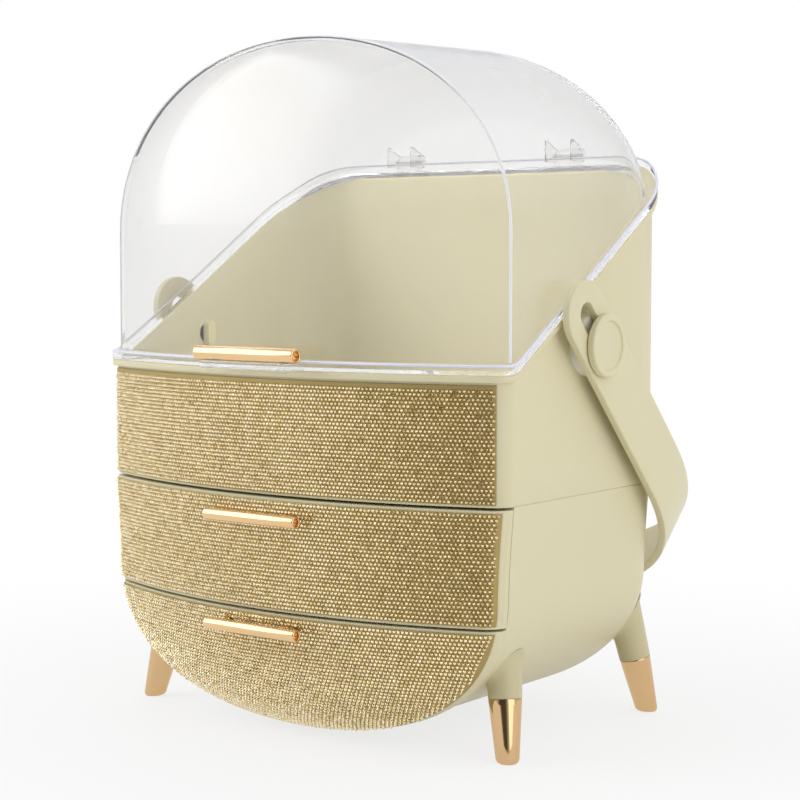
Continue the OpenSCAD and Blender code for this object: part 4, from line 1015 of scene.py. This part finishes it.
def hood_surface(t, foot):
    """The hood's surface at a depth t in the wall, from a height foot over the gap: section
    rows, then the inner points of the bowed face, whose depth falls off with the arch's half
    width."""
    y = station_y + t * np.maximum(0, 1 - (station_y - crease_y) / (2 * RIM_BEND))
    y = np.where(in_corner, fillet_y + (BACK_R - t) * np.sin(corner_turn), y)
    d = BACK_R - (BACK_R - t) * np.cos(corner_turn)
    half_rows = np.stack([hood_section(*v) for v in zip(y, d, rim(y) + FLANGE_GAP + foot)])
    rows = np.concatenate([half_rows, (half_rows * [-1, 1, 1])[:, -2::-1]], 1)
    first = half_rows[0, :-1]
    w = np.abs(first[:, :1])
    depth = (bow - HOOD_IN + crease_y) * (w / w[0]) ** BULGE_P
    sag = BOW_R - math.sqrt(BOW_R ** 2 - hood_w ** 2)
    f = 1 - (BOW_R - np.sqrt(BOW_R ** 2 - (u_face * hood_w) ** 2)) / sag
    z = np.broadcast_to(first[:, 2:], (len(first), len(u_face)))
    return rows, np.stack([w * u_face, crease_y + t - depth * f, z], -1)[:, 1:-1]


def surface_faces(base, rows, cols, levels, inner):
    """Quads of the rows, the flat back panel, and the bowed face down from its tip. Also returns
    the loop of indices round the foot."""
    idx = base + np.arange(rows * cols).reshape(rows, cols)
    mid = base + rows * cols + np.arange(levels * inner).reshape(levels, inner)
    face = np.concatenate([idx[0, :levels, None], mid, idx[0, :-levels - 1:-1, None]], 1)
    quads = np.stack([face[:-1, :-1], face[:-1, 1:], face[1:, 1:], face[1:, :-1]], -1).reshape(-1, 4)
    tip = np.stack([face[-1, :-1], face[-1, 1:], np.full(inner + 1, idx[0, cols // 2])], -1)
    foot = np.concatenate([idx[:, 0], idx[::-1, -1], face[0, 1:-1][::-1]])
    return [grid(rows, cols, base), *folded(idx[-1]), quads, tip], foot


def over_rim(xy, up):
    """Points of a plan curve, at a height above the gap over the rim."""
    return np.column_stack([xy, rim(xy[:, 1]) + FLANGE_GAP + up])


rows_out, face_out = hood_surface(0, FLANGE_T)
rows_in, face_in = hood_surface(HOOD_T, 0)
counts = *rows_out.shape[:2], *face_out.shape[:2]
size = (rows_out.size + face_out.size) // 3
out_faces, foot_out = surface_faces(0, *counts)
in_faces, foot_in = surface_faces(size, *counts)
print("points on each surface of the hood", size)

# %% [markdown]
# At its foot the hood spreads into a flat flange that follows the tub's lip. The flange's plan
# is taken at the same stations as the hood's rows, so each of its points lies beside one of
# theirs.

# %% Flange and hood
plain_side = np.stack([np.full(len(stations), half + LIP_OUT), station_y], -1)
at_front = (front_turn < np.pi / 2 - 1e-6)[:, None]
side = np.where(at_front, front_point(front_turn, LIP_OUT), plain_side)
side = np.where(in_corner[:, None], back_corner(corner_turn, LIP_OUT), side)
u = u_face[1:-1]
turn = np.sign(u) * np.interp(np.abs(u), [0, CORNER_SHARE, 1], [0, bow_turn, math.pi / 4])
flange = np.concatenate([side * [-1, 1], side[::-1], front_point(turn, LIP_OUT)[::-1]])
around = 2 * size + np.arange(len(flange))
loops = [np.append(v, v[0]) for v in (foot_out, around, around + len(flange), foot_in)]
faces = out_faces + turned(in_faces) + [bridge(p, s) for p, s in zip(loops[:-1], loops[1:])]
grids = (rows_out, face_out, rows_in, face_in, over_rim(flange, FLANGE_T), over_rim(flange, 0))
shape = np.concatenate([g.reshape(-1, 3) for g in grids]), faces
piece("hood_shell", shape, "hood_body", clear, ["hood"], 0.7, segments=3, sharp=35)

# %% [markdown]
# Along the crease the real wall is a little thicker, and light collects there and along the
# flange's edge, which looks pale lilac. Clear plastic doesn't show such an edge by itself at
# this scale, so a fine bead in a paler, opaque finish follows each line: a painted highlight
# along the crease and a lilac painted highlight along the flange's edge.

# %% Crease bead and flange edge
BEAD_R, BEAD_IN, BEAD_BACK, EDGE_IN = 0.75, 0.45, 0.2, 0.5
crease = rows_out[0]
inward = unit([0, 0, ARCH_Z] - crease * [1, 0, 1])
shape = tube(crease + BEAD_IN * inward + [0, BEAD_BACK, 0], BEAD_R)
# Both beads are painted highlights in an opaque pale finish.
piece("hood_bead", shape, "hood_body", bead, sharp=50)
edge = over_rim(flange, FLANGE_T - BEAD_R)
edge = edge - EDGE_IN * unit((edge - [0, CASE_D / 2, 0]) * [1, 1, 0])
shape = tube(np.concatenate([edge, edge[:1]]), BEAD_R, across=(0, 0, 1))
piece("hood_edge", shape, "hood_body", lilac, sharp=50)

# %% [markdown]
# Each lug stands between two thin ribs of the hood, with a small gap on both sides, and the
# pins go through all three. A clear tab in front carries the hood's bar.

# %% Hinge ribs and the bar's tab
rib_y, rib_x = CASE_D - HOOD_T + 0.5, (LUG_W + RIB_T + RIB_GAP) / 2
tab_low = float(rim(-bow)) + FLANGE_GAP
rib = np.concatenate([
    [(rib_y, hinge_z - RIB_LOW)], knuckle(-np.pi / 2, np.pi / 2, 20), [(rib_y, hinge_z + RIB_HIGH)]])
ribs = [extruded(rib, s * HINGE_X + k * rib_x, RIB_T) for s in (-1, 1) for k in (-1, 1)]
tab_y = hood_bar_y - TAB_OUT, -bow - LIP_OUT + TAB_IN
tab = [(y, tab_low) for y in tab_y] + [(y, tab_low + TAB_T) for y in tab_y[::-1]]
ribs.append(extruded(tab, 0, HOOD_BAR_L * TAB_SHARE))
piece("hood_ribs", join(ribs), "hood_body", clear, bevel=0.4)

# %% [markdown]
# The three bars are turned metal rods with hollow ends. The drawers' bars stand on two posts and
# the hood's bar lies on a clear tab. A turned profile gives the recess and the fine rounding of
# the ends, which is where the plating catches the light.

# %% Bars
BAR_TURNS, POST_TURNS, TOUCH = 72, 40, 0.05


def bar(length, r, y, z):
    """A bar across the front with a recess and softened edges at both ends."""
    h, bore = length / 2, r * 0.62
    end = [(bore, 2.5 - h), (bore, 0.35 - h), (bore + 0.12, 0.1 - h), (bore + 0.35, -h),
           (r - 0.7, -h), (r - 0.3, 0.08 - h), (r - 0.08, 0.3 - h), (r, 0.7 - h)]
    return lathe(end + [(p, -q) for p, q in end[::-1]], (0, y, z), (1, 0, 0), BAR_TURNS)


bar_y = -bow - BAR_OUT
for name, z in (("upper", upper_bar_z), ("lower", lower_bar_z)):
    post = [(POST_R, 0), (POST_R, float(surface_y(POST_X - POST_R, z)) - bar_y - TOUCH)]
    posts = [lathe(post, (x, bar_y, z), (0, 1, 0), POST_TURNS) for x in (-POST_X, POST_X)]
    shape = join([bar(BAR_L, BAR_R, bar_y, z)] + posts)
    piece(name + "_grip", shape, name + "_drawer_body", gold, [name + "_bar"], sharp=50)
shape = bar(HOOD_BAR_L, HOOD_BAR_R, hood_bar_y, tab_low + TAB_T + HOOD_BAR_R + TOUCH)
piece("hood_grip", shape, "hood_body", gold, ["hood_bar"], sharp=50)

# %% [markdown]
# The legs are cream cones that flow into the casing, and they lean outwards. A straight cone
# pushed into the shell would leave a hard line, so each line of the cone is followed to where it
# meets the casing, and its radius grows just before that.

# %% Legs
leg_long = math.sqrt(1 + 2 * SPLAY ** 2)
tip_l, top_l = TIP_H * leg_long, (SPRING_Z - 5) * leg_long
LEG_TURNS, LEG_STEPS, LEG_FLARE, LEG_SINK = 72, 26, 4.0, 1.2


def under(p):
    """How far a point is inside the casing's underside, as 1 less the superellipse's value. In
    the back corners the ellipse is smaller by the corner's inset."""
    s = np.clip((p[..., 1] - fillet_y) / BACK_R, 0, 1)
    d = BACK_R * (1 - np.sqrt(1 - s ** 2))
    w, h = side_w - d, SPRING_Z - BELLY_Z - d
    return 1 - (np.abs(p[..., 0]) / w) ** BELLY_N - (np.maximum(SPRING_Z - p[..., 2], 0) / h) ** BELLY_N


def cone(foot, axis, ring, s, r):
    """A closed cone from rows of distances s along the axis and radii r across it."""
    p = foot + axis * s[..., None] + ring * r[..., None]
    return p.reshape(-1, 3), capped(len(s), LEG_TURNS)


def leg_radius(s):
    """The leg's radius at a distance s from the floor along its middle line."""
    return LEG_R + (LEG_TOP_R - LEG_R) * (s - tip_l) / (top_l - tip_l)


def leg(foot, axis, ring):
    """A cone from the tip to the casing. Where each of its lines meets the casing is found by
    halving; near there the radius grows along a quarter circle, so the leg flows into it."""
    low, high = np.full(LEG_TURNS, tip_l), np.full(LEG_TURNS, top_l)
    for _ in range(30):
        s = (low + high) / 2
        inside = under(foot + axis * s[:, None] + ring * leg_radius(s)[:, None]) > 0
        low, high = np.where(inside, low, s), np.where(inside, s, high)
    s = tip_l + (high + LEG_SINK - tip_l) * np.linspace(0, 1, LEG_STEPS)[:, None] ** 0.8
    near = np.clip(1 - (high - s) / LEG_FLARE, 0, 1)
    growth = LEG_FLARE * 0.45 * (1 - np.sqrt(1 - near ** 2 * 0.95))
    return cone(foot, axis, ring, s, leg_radius(s) + growth)


print("a leg is", round(top_l, 1), "mm long")

# %% [markdown]
# The lower third of each leg is a plated tip. It leans with the leg but is cut level, so its
# lowest ring is moved along the cone's lines until it lies on the floor.

# %% Tips
TIP_AT = np.array([0, 0.006, 0.016, 0.032, 0.055, 0.085, 0.3, 0.6, 0.9, 0.975, 0.99, 1.0])[:, None]
TIP_SHY = np.array([1.9, 1.2, 0.7, 0.32, 0.08, 0, 0, 0, 0, 0, 0.06, 0.3])[:, None]


def tip(foot, axis, ring):
    """The gold end of a leg: a cone whose lower edge lies on the floor, with soft edges. Along
    each line the foot's height is zero where s = -r ring_z / (axis_z + slope ring_z). TIP_AT is
    a row's share of the way up and TIP_SHY how much its radius is less there."""
    slope = (LEG_R - TIP_R) / tip_l
    start = -TIP_R * ring[:, 2] / (axis[2] + slope * ring[:, 2])
    s = start + (tip_l - start) * TIP_AT
    points, faces = cone(foot, axis, ring, s, TIP_R + slope * s - TIP_SHY)
    points[:LEG_TURNS, 2] = 0
    return points, faces


for sx, side in ((-1, "left"), (1, "right")):
    for sy, end in ((1, "front"), (-1, "back")):
        name = f"{end}_{side}"
        foot = np.array([sx * FOOT_X, FOOT_IN if sy > 0 else CASE_D - FOOT_IN, 0])
        axis = unit(np.array([-sx * SPLAY, sy * SPLAY, 1]))
        line = foot, axis, ring_round(axis, LEG_TURNS, (0, 1, 0))
        piece("foot_" + name, leg(*line), "casing_body", shaded_foot_cream, ["leg_" + name], sharp=50)
        piece("cap_" + name, tip(*line), "casing_body", shaded_foot_gold, ["tip_" + name], sharp=60)

# %% [markdown]
# The strap is one bent strip of plastic: two flat arms and a full round bend between them, with a
# slotted eye at each end, so that it can slide and swing on its button. An eye is three rings of
# points between its outline and the slot. The outline's lower edge uses the strip's own points.

# %% Eyes of the strap
PIVOT_Z = float(rim(PIVOT_Y)) - PIVOT_DROP
STRAP_COLS, ARM_ROWS, BEND_STEPS, EYE_BASE = 9, 12, 61, -16.0


def swung(p):
    """Turns the strap from hanging straight down to where it rests, about its pivot."""
    c, s = math.cos(rest), math.sin(rest)
    x, y, z = p.T
    return np.stack([x, PIVOT_Y + y * c - z * s, PIVOT_Z + y * s + z * c], -1)


def stadium(r, z1, count):
    """Points round a slot of radius r between z = 0 and z = z1, at equal steps, as (y, z). They
    start at the slot's lowest point."""
    a = np.linspace(0, np.pi, 60)
    top = np.stack([r * np.cos(a), z1 + r * np.sin(a)], -1)
    low = np.stack([-r * np.cos(a), -r * np.sin(a)], -1)
    p = np.concatenate([low[30:], top, low[:31]])
    run = run_along(p)
    s = np.linspace(0, run[-1], count, endpoint=False)
    return np.stack([np.interp(s, run, p[:, 0]), np.interp(s, run, p[:, 1])], -1)


def eye_rings(y):
    """The eye's outline, the slot's and one between them, as (y, z). The outline's bottom edge
    uses the strip's own columns, so both parts share their points."""
    w, m = STRAP_W / 2, len(y) // 2
    bottom = np.stack([y, np.full(len(y), EYE_BASE)], -1)
    up = np.linspace(EYE_BASE, SLOT_TRAVEL, 16)[1:]
    a = np.linspace(0, np.pi, 40)[1:-1]
    right = np.stack([np.full(len(up), w), up], -1)
    arc = np.stack([w * np.cos(a), SLOT_TRAVEL + w * np.sin(a)], -1)
    outer = np.concatenate([bottom[m:], right, arc, (right * [-1, 1])[::-1], bottom[:m]])
    inner = stadium(SLOT_W / 2, SLOT_TRAVEL, len(outer))
    return np.stack([outer, (outer + inner) / 2, inner])


print("the strap's pivot is", round(PIVOT_Z, 1), "mm up")

# %% [markdown]
# The strap's inner face is one sheet of quads. A Solidify modifier gives it the thickness,
# outwards, and a Bevel rounds the edges. That keeps the wall even round the bend, which is hard
# to get with two sheets made apart.

# %% Strap
y = np.linspace(-STRAP_W / 2, STRAP_W / 2, STRAP_COLS)
down = np.linspace(EYE_BASE, -STRAP_ARM, ARM_ROWS)
bend = np.linspace(0, np.pi / 2, BEND_STEPS)[1:]
bend_x, bend_z = quarter(bend, bend_r, STRAP_DROP, STRAP_N, STRAP_T)
arm = np.full(ARM_ROWS, strap_x)
path_x = np.concatenate([arm, bend_x, -bend_x[-2::-1], -arm])
path_z = np.concatenate([down, -STRAP_ARM - bend_z, -STRAP_ARM - bend_z[-2::-1], down[::-1]])
strip = np.stack(np.broadcast_arrays(path_x[:, None], y, path_z[:, None]), -1)
length, m = len(strip), STRAP_COLS // 2
rings = eye_rings(y)
points, faces = [strip.reshape(-1, 3)], [grid(length, STRAP_COLS, flip=True)]
for sign, row, start in ((1, 0, strip.size // 3), (-1, length - 1, strip.size // 3 + rings.size // 2)):
    points.append(np.insert(rings, 0, sign * strap_x, axis=-1).reshape(-1, 3))
    own = start + np.arange(rings.size // 2).reshape(rings.shape[:2])
    shared = row * STRAP_COLS + np.arange(STRAP_COLS)
    own[0, :m + 1], own[0, -m:] = shared[m:], shared[:m]
    nxt = np.roll(own, -1, 1)
    quads = np.stack([own[:-1], nxt[:-1], nxt[1:], own[1:]], -1).reshape(-1, 4)
    faces.append(quads if sign > 0 else quads[:, ::-1])
points = np.concatenate(points)
used = np.unique(np.concatenate([f.ravel() for f in faces]))
renumber = np.full(len(points), -1)
renumber[used] = np.arange(len(used))
shape = swung(points[used]), [renumber[f] for f in faces]
strap = piece("strap_band", shape, "strap_body", strap_cream, ["carry_strap"], sharp=50)
thick = strap.modifiers.new("thickness", "SOLIDIFY")
thick.thickness = STRAP_T * MM
thick.offset = 1
thick.use_even_offset = True
soften(strap, 0.7, 3, 50)

# %% [markdown]
# On each side a wide pale washer lies on the tub, and a button with a raised ring and a shallow
# dish holds the strap against it. Both are turned shapes: the button's corners are rounded on
# the profile itself, so no modifier is needed.

# %% Buttons and washers
ROUND_TURNS = 96
button_x = strap_x + STRAP_T + STRAP_GAP
shaft_r = SLOT_W / 2 - STRAP_GAP
dish = BUTTON_T - DISH_T
button = rounded([
    (shaft_r, half - WALL - button_x), (shaft_r, 0), (BUTTON_R, 0), (BUTTON_R, BUTTON_T),
    (DISH_R + 0.5, BUTTON_T), (DISH_R, dish), (2.0, dish), (0.05, dish)], 1.3, 6)
washer = [
    (shaft_r + 0.15, 0), (WASHER_R, 0), (WASHER_R, WASHER_T - 1.2),
    (WASHER_R - 0.35, WASHER_T - 0.35), (WASHER_R - 1.2, WASHER_T), (shaft_r + 0.15, WASHER_T)]
for sx, side in ((-1, "left"), (1, "right")):
    shape = lathe(button, (sx * button_x, PIVOT_Y, PIVOT_Z), (sx, 0, 0), ROUND_TURNS)
    name = "cap_button_" + side
    piece(name, shape, "casing_body", strap_cream, ["button_" + side], sharp=50)
    shape = lathe(washer, (sx * half, PIVOT_Y, PIVOT_Z), (sx, 0, 0), ROUND_TURNS, closed=True)
    piece("disc_" + side, shape, "strap_washers", pale, ["washer_" + side], sharp=50)

# %% [markdown]
# The remaining parts are plain inside: trays, shelf, runners, stops, screws and pins. They keep
# the frame's own shapes, get finishes that match their material, and their edges stay crisp.

# %% Parts kept from the frame
FINISHES = [("hood_bar_screws", clear), ("pin", milky), ("screw", steel)]
FINISHES += [(word, inner_cream) for word in ("tray", "shelf", "runner", "stop")]
kept = sorted(name for name, obj in nodes.items() if not obj.hide_render)
for name in kept:
    finish = [material for word, material in FINISHES if word in name] + [cream]
    nodes[name].data.materials.clear()
    nodes[name].data.materials.append(finish[0])
print("kept", kept)

# %% [markdown]
# The last cell prints the box of the frame and the box of everything shown, so that the two can
# be compared.

# %% Sizes
visual_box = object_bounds()
boxes = {"cad": [list(c) for c in cad_box], "visual": [list(c) for c in visual_box]}
for label, box in boxes.items():
    print(label, [[round(v, 4) for v in c] for c in box])
